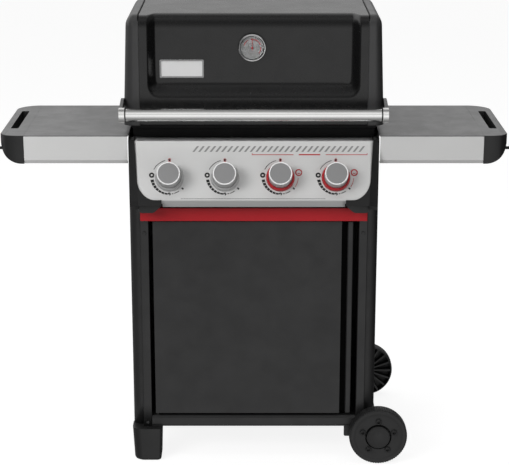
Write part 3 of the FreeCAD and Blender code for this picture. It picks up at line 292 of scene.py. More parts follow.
def lathe(profile, centre, axis, steps=96, closed=False, ripple=None):
    """Profile of (radius, height) turned about an axis through a centre.

    P = centre + axis * height + radius * (u cos a + v sin a); ripple changes the radius by
    profile place and angle.
    """
    axis = np.array(axis, float) / np.linalg.norm(axis)
    side = np.array([1.0, 0, 0]) if abs(axis[0]) < 0.9 else np.array([0, 1.0, 0])
    u = np.cross(side, axis)
    u /= np.linalg.norm(u)
    v = np.cross(axis, u)
    angle = np.linspace(0, 2 * np.pi, steps, endpoint=False)
    profile = np.array(profile, float)
    radius = np.repeat(profile[:, :1], steps, 1)
    if ripple is not None:
        radius = radius + ripple(profile[:, :1], profile[:, 1:], angle[None, :])
    spin = np.cos(angle)[:, None] * u + np.sin(angle)[:, None] * v
    points = np.array(centre, float) + profile[:, 1][:, None, None] * axis + radius[:, :, None] * spin
    return surface(points, closed, True)


def rounded_path(corners, radii, step=0.004, arc_steps=12):
    """Open path through corners with an arc at each inner one.

    Straight runs are divided at about the step and each arc into arc_steps chords.
    """
    corners = np.array(corners, float)
    pieces = []
    start = corners[0]
    for before, corner, after, radius in zip(corners, corners[1:], corners[2:], radii):
        one = (before - corner) / np.linalg.norm(before - corner)
        two = (after - corner) / np.linalg.norm(after - corner)
        half = math.acos(max(-1.0, min(1.0, float(one @ two)))) / 2
        reach = radius / math.tan(half)
        centre = corner + (one + two) / np.linalg.norm(one + two) * radius / math.sin(half)
        first, last = corner + one * reach, corner + two * reach
        a = math.atan2(*(first - centre)[::-1])
        b = math.atan2(*(last - centre)[::-1])
        turn = (b - a + math.pi) % (2 * math.pi) - math.pi
        angle = a + turn * np.linspace(0, 1, arc_steps + 1)
        pieces.append((start, first, centre + radius * np.stack([np.cos(angle), np.sin(angle)], 1)))
        start = last
    points = []
    for begin, end, arc in pieces:
        count = max(2, int(round(np.linalg.norm(end - begin) / step)))
        points.append(begin + (end - begin) * np.linspace(0, 1, count, endpoint=False)[:, None])
        points.append(arc[:-1])
    count = max(2, int(round(np.linalg.norm(corners[-1] - start) / step)))
    points.append(start + (corners[-1] - start) * np.linspace(0, 1, count + 1)[:, None])
    return np.concatenate(points)


def even_path(corners, radii, counts, arc_steps):
    """As rounded_path, with a stated number of points on each straight run.

    Paths with equal counts and arc steps have as many points, so they can be blended.
    """
    path = rounded_path(corners, radii, 1e9, arc_steps)
    runs, cursor = [], 0
    for index, count in enumerate(counts):
        begin = path[cursor]
        end = path[cursor + 2] if index < len(counts) - 1 else path[-1]
        runs.append(begin + (end - begin) * np.linspace(0, 1, count, endpoint=False)[:, None])
        cursor += 2
        if index < len(counts) - 1:
            runs.append(path[cursor:cursor + arc_steps])
            cursor += arc_steps
    runs.append(path[-1:])
    return np.concatenate(runs)


def normals_of(path):
    """Left normals of a path, from central differences."""
    along = np.gradient(path, axis=0)
    along /= np.linalg.norm(along, axis=1)[:, None]
    return np.stack([-along[:, 1], along[:, 0]], 1)


def smoothstep(low, high, value):
    share = np.clip((value - low) / (high - low), 0, 1)
    return share * share * (3 - 2 * share)


def prism(outline, low, high, plane="XZ"):
    """Closed solid between two parallel copies of an outline."""
    outline = np.array(outline, float)
    count = len(outline)
    points = []
    for depth in (low, high):
        fixed = np.full(count, depth)
        across, up = outline[:, 0], outline[:, 1]
        columns = {"XZ": (across, fixed, up), "XY": (across, up, fixed),
                   "YZ": (fixed, across, up)}[plane]
        points.append(np.stack(columns, 1))
    ring = np.arange(count)
    sides = np.stack([ring, (ring + 1) % count, (ring + 1) % count + count, ring + count], 1)
    faces = [tuple(ring[::-1])] + [tuple(f) for f in sides] + [tuple(ring + count)]
    return np.concatenate(points), faces


def piece(name, shells, node, material, stands_for=None, angle=35, centre=None, bevel=0.0, wall=0.0):
    """One finished piece that rides with a CAD node's body and takes the named finish.

    centre turns an open sheet's faces away from that point before its wall is added.
    """
    mesh = bpy.data.meshes.new(name)
    points, faces, offset = [], [], 0
    for shell_points, shell_faces in shells:
        points.append(np.asarray(shell_points, float))
        faces += [tuple(int(k) + offset for k in face) for face in shell_faces]
        offset += len(shell_points)
    mesh.from_pydata(np.concatenate(points).tolist(), [], faces)
    work = bmesh.new()
    work.from_mesh(mesh)
    bmesh.ops.remove_doubles(work, verts=work.verts, dist=1e-6)
    bmesh.ops.dissolve_degenerate(work, edges=work.edges, dist=1e-7)
    bmesh.ops.recalc_face_normals(work, faces=work.faces)
    if centre is not None:
        middle = Vector(centre)
        outward = sum(f.normal.dot(f.calc_center_median() - middle) * f.calc_area() for f in work.faces)
        if outward < 0:
            bmesh.ops.reverse_faces(work, faces=work.faces)
    work.to_mesh(mesh)
    work.free()
    return dress_new(name, mesh, node, material, stands_for, angle, bevel, wall)


def dress_new(name, mesh, node, material, stands_for, angle, bevel, wall):
    mesh.shade_smooth()
    mesh.set_sharp_from_angle(angle=math.radians(angle))
    mesh.materials.clear()
    mesh.materials.append(FINISHES[material])
    made = bpy.data.objects.new(name, mesh)
    bpy.context.scene.collection.objects.link(made)
    if wall:
        solid = made.modifiers.new("wall", "SOLIDIFY")
        solid.thickness = wall
        solid.offset = -1
        solid.use_even_offset = True
    if bevel:
        edge = made.modifiers.new("edges", "BEVEL")
        edge.width = bevel
        edge.segments = 2
        edge.limit_method = "ANGLE"
        edge.angle_limit = math.radians(40)
        edge.harden_normals = True
    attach(made, body_of_node(node))
    if stands_for:
        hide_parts(*stands_for)
    return made


def softened(node, material, bevel=0.0008, shape=None, cuts=()):
    """A copy of a CAD node's mesh with its loose triangles merged and its edges eased.

    shape maps its points to new ones, after the mesh is cut along the planes at the X of cuts.
    """
    mesh = frame["nodes"][node].data.copy()
    mesh.name = node + "_skin"
    work = bmesh.new()
    work.from_mesh(mesh)
    bmesh.ops.remove_doubles(work, verts=work.verts, dist=1e-6)
    bmesh.ops.dissolve_limit(work, angle_limit=math.radians(0.3), verts=work.verts, edges=work.edges)
    for x in cuts:
        everything = work.verts[:] + work.edges[:] + work.faces[:]
        bmesh.ops.bisect_plane(work, geom=everything, dist=1e-6, plane_co=(x, 0, 0), plane_no=(1, 0, 0))
    work.to_mesh(mesh)
    work.free()
    if shape is not None:
        points = np.empty(len(mesh.vertices) * 3)
        mesh.vertices.foreach_get("co", points)
        mesh.vertices.foreach_set("co", shape(points.reshape(-1, 3)).ravel())
        mesh.update()
    return dress_new(node + "_skin", mesh, node, material, (node,), 32, bevel, 0.0)


def two_finishes(made, material, chosen):
    """Give the faces picked by their normals and centres another finish."""
    mesh = made.data
    mesh.materials.append(FINISHES[material])
    normals, centres = np.empty((2, len(mesh.polygons) * 3), dtype=np.float32)
    mesh.polygons.foreach_get("normal", normals)
    mesh.polygons.foreach_get("center", centres)
    picked = chosen(normals.reshape(-1, 3), centres.reshape(-1, 3))
    mesh.polygons.foreach_set("material_index", picked.astype(np.int32))
    mesh.update()


def coat(material, *nodes):
    """Give CAD nodes that keep their shape a finish."""
    for node in nodes:
        mesh = frame["nodes"][node].data
        mesh.materials.clear()
        mesh.materials.append(FINISHES[material])


# ---------------------------------------------------------------- lid

def lid_corners(front, low, high, top, settings):
    return [(front, low.z), (front, top), (settings.top_break, top), (high.y, settings.shoulder),
            (high.y, low.z)]


def build_lid(settings):
    """Pressed centre sheet and two cast ends, as paths carried across X."""
    low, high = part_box("lid_shell")
    counts, arc = (64, 46, 18, 24), 14
    radii = (settings.front_round, settings.rear_round, settings.rear_round)
    sheet = even_path(lid_corners(low.y, low, high, high.z, settings), radii, counts, arc)
    sunk = even_path(lid_corners(low.y + settings.recess_depth, low, high, high.z, settings),
                     (settings.recess_round,) + radii[1:], counts, arc)
    wall_half = settings.recess_half
    tuck = settings.seam + np.array([0.0004, 0.009])
    x = np.unique(np.round(np.concatenate([
        np.linspace(-settings.seam, settings.seam, 61), tuck, -tuck,
        np.linspace(wall_half - 0.045, wall_half + 0.016, 26),
        -np.linspace(wall_half - 0.045, wall_half + 0.016, 26)]), 6))
    height = sheet[:, 1][:, None]
    past_front = (np.arange(len(sheet)) > counts[0])[:, None]
    height = np.where(past_front, high.z, height)
    q_side = np.abs(x)[None, :] - (wall_half - settings.recess_corner)
    q_low = (settings.recess_bottom + settings.recess_corner) - height
    outside = np.hypot(np.maximum(q_side, 0), np.maximum(q_low, 0))
    distance = outside + np.minimum(np.maximum(q_side, q_low), 0) - settings.recess_corner
    lower = 1 / (1 + np.exp(-(q_low - q_side) / 0.01))
    half_wall = 0.0100 + 0.0070 * lower
    ramp = np.clip(0.5 - distance / (2 * half_wall), 0, 1)
    share = 0.6 * ramp + 0.4 * smoothstep(0, 1, ramp)
    flat = sheet[:, None, :] * (1 - share[..., None]) + sunk[:, None, :] * share[..., None]
    lip = 0.0016 * (1 - smoothstep(0.006, 0.009, sheet[:, 1] - low.z))
    lip = lip * (np.arange(len(sheet)) < counts[0])
    flat[:, :, 0] -= lip[:, None]
    flat[:, :, 0] = np.maximum(flat[:, :, 0], low.y - 0.0001)
    under = 0.0070 * (np.abs(x) > settings.seam + 0.0001)
    inward = normals_of(sheet) * path_side(sheet, normals_of(sheet))
    flat = flat - inward[:, None, :] * under[None, :, None]
    points = np.stack([np.broadcast_to(x, flat.shape[:2]), flat[..., 0], flat[..., 1]], -1)
    middle = (0, (low.y + high.y) / 2, (low.z + high.z) / 2)
    piece("lid_sheet", [surface(points)], "lid_shell", "enamel", ("lid_shell",), 50, middle, wall=0.002)
    for side, node in ((-1, "lid_end_left"), (1, "lid_end_right")):
        lid_end(side, node, settings, radii, counts, arc)


def lid_end(side, node, settings, radii, counts, arc):
    """Cast end: the lid's side view carried outwards, round the edge and in to a flat side.

    Columns run from the seam outwards; past the rounded edge the side fans to the middle of
    the lower edge, and every column leans in with height by the draft.
    """
    low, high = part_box(node)
    outer = even_path(lid_corners(low.y, low, high, high.z, settings), radii, counts, arc)
    normal = normals_of(outer)
    half = max(abs(low.x), abs(high.x)) + settings.flare
    turn = np.linspace(0, np.pi / 2, 10)
    across = np.concatenate([[settings.seam + 0.0002, settings.seam + 0.0028, settings.seam + 0.0040],
                             half - settings.edge + settings.edge * np.sin(turn)])
    inset = np.concatenate([[0.0065, 0.0040, 0.0], settings.edge * (1 - np.cos(turn))])
    groove = np.where(np.arange(len(inset)) < 3,
                      smoothstep(high.z - 0.02, high.z - 0.004, outer[:, 1:]), 1.0)
    inset = inset * groove
    rim = outer[:, None, :] - normal[:, None, :] * inset[..., None] * path_side(outer, normal)
    rim[:, :, 1] = np.maximum(rim[:, :, 1], low.z)
    centre = np.array([(low.y + high.y) / 2, low.z])
    fan = np.linspace(0, 1, 7)[1:]
    side_face = rim[:, -1:, :] * (1 - fan[None, :, None]) + centre * fan[None, :, None]
    flat = np.concatenate([rim, side_face], 1)
    x = np.concatenate([across, np.full(len(fan), half)])
    lean = settings.draft * (flat[..., 1] - low.z) / (high.z - low.z)
    lean = lean * smoothstep(settings.seam, half, x)[None, :]
    points = np.stack([side * (x[None, :] - lean), flat[..., 0], flat[..., 1]], -1)
    middle = (side * (settings.seam - 0.05), (low.y + high.y) / 2, (low.z + high.z) / 2)
    piece(node + "_casting", [surface(points)], node, "cast", None, 40, middle, wall=0.0035)
    lug_points = lug_shape(side)
    piece(node + "_lug", lug_points, node, "cast", (node,), 35, bevel=0.0015)


def path_side(path, normal):
    """1 or -1, so that the normals times it point out of the path's bulge."""
    middle = path.mean(0)
    return 1.0 if ((path - middle) * normal).sum() > 0 else -1.0


def lug_shape(side):
    """Lug at the rear corner: a plate with a round nose about the pivot, without a bore."""
    pivot = frame["joints"][0]["pos_m"]
    nose_radius = 0.0105
    angle = np.radians(np.linspace(-100, 80, 14))
    nose = np.stack([pivot[1] + nose_radius * np.cos(angle), pivot[2] + nose_radius * np.sin(angle)], 1)
    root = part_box("lid_shell")[1].y - 0.004
    outline = np.concatenate([[[root, pivot[2] - 0.005]], nose, [[root, pivot[2] + 0.027]]])
    lug_inner, lug_outer = 0.3145, 0.3255
    low, high = sorted((side * lug_inner, side * lug_outer))
    return [prism(outline, low, high, "YZ")]


def build_handle():
    """Polished tube, turned about X, between softened brackets, with a band of painted shade at each
    collar's gap.
    """
    low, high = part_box("lid_handle_tube")
    radius = (high.z - low.z) / 2
    centre = (low.x, (low.y + high.y) / 2, (low.z + high.z) / 2)
    span = high.x - low.x
    wall = 0.0015
    profile = [(radius - wall, 0), (radius, 0), (radius, span * 0.5), (radius, span),
               (radius - wall, span)]
    piece("handle_tube", [lathe(profile, centre, (1, 0, 0), 128, closed=True)], "lid_handle_tube",
          "bright", ("lid_handle_tube",))
    arms = softened("handle_brackets", "bright", 0.0016, lowered_arms)
    two_finishes(arms, "cast", lambda normals, centres: centres[:, 2] > 1.014)
    shells = []
    low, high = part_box("handle_brackets")
    for x in (low.x + 0.0015, high.x - 0.0015):
        ring = [(0.0, 0.0), (0.0145, 0.0), (0.0155, 0.001), (0.0155, 0.0015), (0.0, 0.0015)]
        start = (x - 0.0015 if x < 0 else x, centre[1], centre[2])
        shells.append(lathe(ring, start, (1, 0, 0), 48))
    piece("collar_rings", shells, "handle_brackets", "chrome")
    # Painted shade: a near-black band on the tube at each collar, standing for the shadow in the gap.
    low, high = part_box("lid_handle_tube")
    gap = 0.0024
    band = [(radius - 0.0006, 0), (radius + 0.0003, 0), (radius + 0.0003, gap), (radius - 0.0006, gap)]
    piece("collar_gaps", [lathe(band, (x, centre[1], centre[2]), (1, 0, 0), 96, closed=True)
                          for x in (low.x, high.x - gap)], "lid_handle_tube", "shade")


def lowered_arms(points):
    """Draw the arms' upper ends down, by a share of their height over the tube."""
    tube_top, share = 1.006, 0.3
    moved = points.copy()
    moved[:, 2] -= share * np.maximum(points[:, 2] - tube_top, 0)
    return moved


# ---------------------------------------------------------------- thermometer and plate

def build_gauge():
    """Bezel and probe, dial with ticks and three arcs, needle and domed glass, turned about -Y."""
    low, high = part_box("thermometer_bezel")
    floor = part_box("lid_shell")[0].y + bpy.context.scene.grill_lid.recess_depth
    centre = np.array([(low.x + high.x) / 2, floor, (low.z + high.z) / 2])
    radius = (high.x - low.x) / 2
    depth = floor - low.y
    out = (0, -1, 0)
    ring = [(radius - 0.0055, 0.001), (radius - 0.002, 0.0), (radius - 0.0004, 0.0015), (radius, 0.004),
            (radius, depth - 0.005), (radius - 0.0008, depth - 0.002),
            (radius - 0.0024, depth - 0.0004),
            (radius - 0.0040, depth), (radius - 0.0052, depth - 0.0008),
            (radius - 0.0056, depth - 0.0024)]
    probe = [(0, -0.060), (0.002, -0.0595), (0.003, -0.058), (0.003, 0.001), (radius - 0.003, 0.001),
             (radius - 0.003, 0.0022), (0, 0.0022)]
    piece("gauge_bezel", [lathe(ring, centre, out, closed=True), lathe(probe, centre, out)],
          "thermometer_bezel", "chrome", ("thermometer_bezel",), 30)
    face = radius - 0.0056
    level = depth - 0.0062
    plate = [(0, level - 0.001), (face, level - 0.001), (face, level), (0, level)]
    piece("gauge_dial", [lathe(plate, centre, out)], "thermometer_dial", "dial", ("thermometer_dial",))
    shells = []
    for index in range(29):
        angle = math.radians(225 - index * 270 / 28)
        long = index % 4 == 0
        shells.append(dial_mark(centre, level, angle, face - (0.0062 if long else 0.0044), face - 0.002,
                                0.0010 if long else 0.0005))
    shells.append(flat_arc(centre, level, np.radians(np.linspace(0, 359, 72)), face - 0.0014,
                           face - 0.0001))
    piece("gauge_ticks", shells, "thermometer_dial", "ink")
    arcs = []
    for first, last in ((20, 100), (120, 165), (-40, 5)):
        angle = np.radians(np.linspace(first, last, 24))
        arcs.append(flat_arc(centre, level, angle, face - 0.0098, face - 0.0080))
    piece("gauge_bands", arcs, "thermometer_dial", "red_ink")
    hand = dial_mark(centre, level + 0.0012, math.pi / 2, -0.006, face - 0.006, 0.0018, 0.0006)
    hub = lathe([(0, level + 0.0001), (0.0028, level + 0.0001), (0.0028, level + 0.0022),
                 (0.0018, level + 0.0028), (0, level + 0.0028)], centre, out, 32)
    piece("gauge_needle", [hand, hub], "thermometer_needle", "red_ink", ("thermometer_needle",))
    dome = np.linspace(0, 1, 8)
    top = [(face * s, depth - 0.0022 + 0.0014 * (1 - s * s)) for s in dome]
    under = [(face * s, depth - 0.0034 + 0.0014 * (1 - s * s)) for s in dome[::-1]]
    piece("gauge_lens", [lathe(top + under, centre, out, 64)], "thermometer_lens", "glass",
          ("thermometer_lens",))


def dial_point(centre, level, radius, angle):
    """Points on the dial at a radius and angle, seen from the front."""
    radius, angle = np.broadcast_arrays(radius, angle)
    x = centre[0] + radius * np.cos(angle)
    z = centre[2] + radius * np.sin(angle)
    return np.stack([x, np.full(x.shape, centre[1] - level), z], -1)


def dial_mark(centre, level, angle, near, far, width, thick=0.0002):
    """Tapered bar from one radius to another, a thin closed box."""
    ends = dial_point(centre, level, np.array([near, far]), np.array([angle, angle]))
    across = np.array([-math.sin(angle), 0, math.cos(angle)]) * width / 2
    taper = np.array([1.0, 0.6])
    quad = np.array([ends[0] - across, ends[1] - across * taper[1], ends[1] + across * taper[1],
                     ends[0] + across])
    return slab(quad, np.array([0, -thick, 0]))


def flat_arc(centre, level, angle, near, far, thick=0.0002):
    inner = dial_point(centre, level, near, angle)
    outer = dial_point(centre, level, far, angle)[::-1]
    return slab(np.concatenate([inner, outer]), np.array([0, -thick, 0]))


def slab(outline, rise):
    """Closed thin solid between an outline of points and its copy moved by the rise."""
    count = len(outline)
    ring = np.arange(count)
    sides = np.stack([ring, (ring + 1) % count, (ring + 1) % count + count, ring + count], 1)
    faces = [tuple(ring[::-1])] + [tuple(f) for f in sides] + [tuple(ring + count)]
    return np.concatenate([outline, outline + rise]), faces


def build_plate():
    """Blank plate: a raised silver rim around a plain field."""
    low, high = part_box("lid_plate")
    field = round_rectangle(low.x, high.x, low.z, high.z, 0.003)
    inner = round_rectangle(low.x + 0.004, high.x - 0.004, low.z + 0.004, high.z - 0.004, 0.002)
    piece("plate_rim", [frame_ring(field, inner, high.y, low.y)], "lid_plate", "cap", ("lid_plate",),
          bevel=0.0005)
    piece("plate_field", [prism(inner, low.y + 0.0014, high.y)], "lid_plate", "plate", bevel=0.0002)


def round_rectangle(left, right, bottom, top, radius, steps=6):
    """Corner arcs of a rectangle, counter-clockwise."""
    angle = np.linspace(0, np.pi / 2, steps)
    arc = np.stack([np.cos(angle), np.sin(angle)], 1) * radius
    turns = [(right - radius, top - radius, 0), (left + radius, top - radius, 1),
             (left + radius, bottom + radius, 2), (right - radius, bottom + radius, 3)]
    out = []
    for a, b, quarter in turns:
        c, s = round(math.cos(quarter * math.pi / 2)), round(math.sin(quarter * math.pi / 2))
        out.append(arc @ np.array([[c, s], [-s, c]]) + (a, b))
    return np.concatenate(out)


def frame_ring(outer, inner, back, front):
    """Closed ring between two outlines with as many points, from a back to a front plane."""
    count = len(outer)
    loops = []
    for outline, depth in ((outer, back), (outer, front), (inner, front), (inner, back)):
        loops.append(np.stack([outline[:, 0], np.full(count, depth), outline[:, 1]], 1))
    return surface(np.stack(loops), True, True)


# ---------------------------------------------------------------- control panel

def face_frame(settings):
    """Foot point of the panel face and its up and out directions, in (Y, Z)."""
    low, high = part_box("control_panel")
    up = np.array([math.sin(settings.lean), math.cos(settings.lean)])
    out = np.array([-up[1], up[0]])
    foot = np.array([low.y, high.z - settings.face * up[1]])
    return foot, up, out


def on_face(settings, x, height, rise):
    """Points at a place on the panel face: across, up the slope and out of it."""
    foot, up, out = face_frame(settings)
    x, height, rise = np.broadcast_arrays(np.asarray(x, float), np.asarray(height, float), rise)
    flat = foot + height[..., None] * up + rise[..., None] * out
    return np.stack([x, flat[..., 0], flat[..., 1]], -1)


def build_panel(settings):
    """Bent silver sheet carried across X, without stem holes, and its softened moulded frames."""
    low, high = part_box("control_panel")
    foot, up, _ = face_frame(settings)
    top = foot + up * settings.face
    corners = [(high.y, high.z), tuple(top), tuple(foot), (foot[0] + 0.023, low.z + 0.002),
               (foot[0] + 0.034, low.z)]
    path = rounded_path(corners, (settings.fold * 0.6, settings.fold * 0.6, 0.004), 0.02, 8)
    x = np.broadcast_to(np.linspace(low.x, high.x, 61), (len(path), 61))
    lip = (path[:, 1] < foot[1] - 0.004)[:, None]
    down = np.clip((high.z - path[:, 1:]) / (high.z - foot[1]), 0, 1)
    half = np.where(lip, settings.lip_half, high.x - 0.0115 * down)
    x = np.clip(x, -half, half)
    points = np.stack([x, np.repeat(path[:, :1], 61, 1), np.repeat(path[:, 1:], 61, 1)], -1)
    fold = int(np.argmin(path[:, 0] > top[0] + 0.0003)) + 1
    inside = (0, high.y, low.z + 0.08)
    piece("panel_sheet", [surface(points[fold - 1:])], "control_panel", "silver", ("control_panel",),
          40, inside, wall=0.0012)
    piece("panel_ledge", [surface(points[:fold])], "control_panel", "ledge", None, 40, inside,
          wall=0.0012)
    for node in ("panel_frame_left", "panel_frame_right"):
        softened(node, "plastic", 0.0022, lambda points: drafted(points, settings))


def drafted(points, settings):
    """Draw a frame's front edge in towards its lower end; the rear edge keeps its place."""
    low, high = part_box("panel_frame_right")
    foot, _, out = face_frame(settings)
    across = np.abs(points[:, 0])
    down = np.clip((high.z - points[:, 2]) / (high.z - foot[1]), 0, 1)
    ahead = np.clip((-0.180 - points[:, 1]) / 0.09, 0, 1)
    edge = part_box("control_panel")[1].x
    cheek = 0.0055 + 0.0075 * np.clip((high.x - across) / (high.x - edge), 0, 1)
    corner = 0.013 * np.clip((across - low.x) / (edge - low.x), 0, 1)
    drawn = np.where(across >= edge - 1e-5, cheek, corner)
    moved = points.copy()
    moved[:, 0] -= np.sign(points[:, 0]) * drawn * down * ahead
    outer = smoothstep(edge + 0.004, high.x, across) * ahead
    moved[:, 1:] -= np.array(out) * (0.016 * outer)[:, None]
    low_foot = smoothstep(0.010, 0.0, points[:, 2] - low.z) * (across < edge)
    moved[:, 2] += 0.010 * low_foot
    return moved


def face_slab(settings, outline, thick=0.00025):
    """Thin printed shape on the panel face from an outline of (across, up) points."""
    outline = np.array(outline, float)
    points = on_face(settings, outline[:, 0], outline[:, 1], 0.00005)
    out = face_frame(settings)[2]
    return slab(points, np.array([0, out[0], out[1]]) * thick)


def face_bar(settings, left, right, bottom, top):
    """Printed upright rectangle on the panel face."""
    return face_slab(settings, [(left, bottom), (right, bottom), (right, top), (left, top)])


def face_arc(settings, centre, radius, width, first, last, steps=24):
    """Printed arc about a point, angles in degrees counter-clockwise from the right."""
    angle = np.radians(np.linspace(first, last, steps))
    inner, outer = radius - width / 2, radius + width / 2
    ring = np.concatenate([np.stack([np.cos(angle), np.sin(angle)], 1) * inner,
                           np.stack([np.cos(angle), np.sin(angle)], 1)[::-1] * outer])
    return face_slab(settings, ring + np.array(centre))


def knob_places():
    """X of the four knobs, from the record's joints."""
    turns = [joint for joint in frame["joints"]
             if joint["name"].endswith("_turn") and "knob" in joint["name"]]
    return [joint["pos_m"][0] for joint in sorted(turns, key=lambda joint: joint["name"])]


def build_print(settings):
    """Printed scales, hatching and rules on the panel face, without lettering."""
    black, red, grey = [], [], []
    middle_up = settings.knob_up + 0.0015
    radius = settings.dial
    for index, x in enumerate(knob_places()):
        centre = (x, middle_up)
        sear = index > 1
        top_dot = (x, middle_up + radius)
        black.append(face_arc(settings, top_dot, 0.0014, 0.0028, 0, 356, 16))
        red.append(face_arc(settings, top_dot, 0.0038, 0.0014, 20, 160, 12))
        red.append(face_arc(settings, top_dot, 0.0038, 0.0014, 200, 340, 12))
        black.append(face_arc(settings, centre, radius, 0.0015, 104, 154))
        low_ring = (x - radius - 0.0006, middle_up + 0.005)
        black.append(face_arc(settings, low_ring, 0.0048, 0.0044, 0, 356, 30))
        for step in range(7):
            start = 189 + step * 11
            width = 0.0080 - step * 0.0006
            black.append(face_arc(settings, centre, radius, width, start, start + 9, 8))
        black.append(face_arc(settings, (x, middle_up - radius), 0.0026, 0.0030, -80, 200, 16))
        black.append(face_arc(settings, centre, radius, 0.0024, 279, 284, 4))
        black.append(face_arc(settings, centre, radius, 0.0020, 287, 304, 8))
        black.append(face_arc(settings, centre, radius + 0.0010, 0.0060, 316, 321, 4))
        if sear:
            spark = (x + radius + 0.0025, middle_up + 0.012)
            red.append(face_arc(settings, spark, 0.0078, 0.0030, 0, 356, 40))
            red.append(face_arc(settings, spark, 0.0030, 0.0018, 200, 340, 12))
            red.append(face_arc(settings, centre, radius + 0.001, 0.0014, 326, 356))
    count, first, pitch, bottom, top = 30, -0.1610, 0.0150, 0.1300, 0.1455
    for index in range(count):
        x = first + pitch * index
        stripe = [(x, bottom), (x + 0.0058, bottom), (x + 0.0178, top), (x + 0.0120, top)]
        grey.append(face_slab(settings, stripe))
    rule = 0.1215
    for left, right in ((-0.005, 0.104), (0.188, 0.297)):
        red.append(face_bar(settings, left, right, rule, rule + 0.0018))
    for x in (-0.005, 0.2959):
        red.append(face_bar(settings, x, x + 0.0016, rule, rule + 0.0050))
    red.append(face_bar(settings, 0.118, 0.174, rule - 0.0006, rule + 0.0026))
    for index in range(54):
        x = -0.190 + index * 0.0070
        grey.append(face_bar(settings, x, x + 0.0054, 0.0036, 0.0056))
    for name, shells, material in (("print_black", black, "ink"), ("print_red", red, "red_ink"),
                                   ("print_grey", grey, "grey_ink")):
        piece(name, shells, "control_panel", material)


def build_knobs(settings):
    """Knob body, lip, cap and bezel for each valve, turned about the face's normal.

    The bodies are solid: they have no bore for the stem.
    """
    out = face_frame(settings)[2]
    axis = (0, out[0], out[1])
    grey, red = [], []
    for index, x in enumerate(knob_places()):
        centre = on_face(settings, x, settings.knob_up, 0.0)
        number = index + 1
        body = [(0, 0.005), (0.0298, 0.005), (0.0304, 0.0056), (0.0306, 0.012), (0.0306, 0.0440),
                (0.0303, 0.0466), (0, 0.0466)]
        piece("knob_skin_%d" % number, [lathe(body, centre, axis)], "knob_%d" % number, "knob",
              ("knob_%d" % number,), 28)
        lip = [(0.0270, 0.0464), (0.0303, 0.0464), (0.0305, 0.0470), (0.0303, 0.0482), (0.0297, 0.0493),
               (0.0287, 0.0499), (0.0277, 0.0498), (0.0271, 0.0490), (0.0270, 0.0480)]
        piece("knob_lip_%d" % number, [lathe(lip, centre, axis, closed=True)], "knob_%d" % number,
              "ring", None, 28)
        cap = [(0, 0.0460), (0.0269, 0.0460), (0.0269, 0.0482), (0.0264, 0.0486), (0.0150, 0.0490),
               (0, 0.0491)]
        piece("knob_cap_%d" % number, [lathe(cap, centre, axis)], "knob_%d" % number, "cap", None, 28)
        ring = [(0.0313, 0.0001), (0.0376, 0.0001), (0.0377, 0.0012), (0.0366, 0.0062),
                (0.0352, 0.0108), (0.0343, 0.0120), (0.0313, 0.0120)]
        (grey if index < 2 else red).append(lathe(ring, centre, axis, closed=True))
    piece("bezels_grey", grey, "knob_bezels_grey", "knob", ("knob_bezels_grey",), 28)
    piece("bezels_red", red, "knob_bezels_red", "red_gloss", ("knob_bezels_red",), 28)


# ---------------------------------------------------------------- cart, tables, wheels, insides

def build_cart():
    for side, node in ((-1, "cart_side_left"), (1, "cart_side_right")):
        leg_sheet(side, node)
    softened("cart_front_rail", "paint", 0.0009)
    softened("front_crossbar", "red_paint", 0.0018)
    build_feet()
    for node in ("cart_rear_panel", "cart_bottom_shelf", "axle_brackets"):
        softened(node, "paint", 0.0006)
    softened("cart_screws", "paint", 0.0009)
    coat("plated", "wheel_axle", "lid_hinge_pins")
    coat("paint", "door_hinge_pins")


def leg_sheet(side, node):
    """Side panel: its plan, a folded front strip and a broad outer round, carried up in Z."""
    low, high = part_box(node)
    inner, outer = min(abs(low.x), abs(high.x)), max(abs(low.x), abs(high.x)) + 0.0043
    strip, band = inner + 0.023, low.y + 0.018
    plan = rounded_path([(inner, low.y + 0.026), (inner, low.y), (strip, low.y), (strip, band),
                         (outer, band),
                         (outer, high.y), (inner + 0.018, high.y)],
                        (0.002, 0.002, 0.0015, 0.023, 0.004), 0.05, 12)
    z = np.linspace(low.z, high.z, 13)
    points = np.stack([np.broadcast_to(side * plan[:, 0], (len(z), len(plan))),
                       np.broadcast_to(plan[:, 1], (len(z), len(plan))),
                       np.repeat(z[:, None], len(plan), 1)], -1)
    piece(node + "_sheet", [surface(points)], node, "paint", (node,), 40, (0, 0, (low.z + high.z) / 2),
          wall=0.0016)


def build_feet():
    """Tapered blocks lofted through rounded rectangles, the outer front corner the roundest."""
    low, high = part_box("cart_feet")
    depth = 0.066
    shells = []
    for front, outer_front, outer_rear in ((low.y, 0.024, 0.010), (high.y - depth, 0.010, 0.024)):
        loops = []
        for z, inset in ((0.0, 0.007), (0.0010, 0.0042), (0.0030, 0.0018), (0.0060, 0.0005),
                         (0.009, 0.0), (high.z, 0.0)):
            rise = z / high.z
            drawn = inset + 0.003 * (1 - rise)
            left = low.x + drawn - 0.0080 - 0.0020 * rise
            loop = corner_loop(left, high.x - drawn, front + inset, front + depth - inset,
                               (outer_front, 0.008, 0.008, outer_rear))
            loops.append(np.column_stack([loop, np.full(len(loop), z)]))
        loops = np.stack(loops)
        points, faces = surface(loops, False, True)
        count = loops.shape[1]
        ends = [tuple(range(count))[::-1], tuple(range(len(points) - count, len(points)))]
        shells.append((points, [tuple(face) for face in faces] + ends))
    piece("feet_moulded", shells, "cart_feet", "plastic", ("cart_feet",), 30)


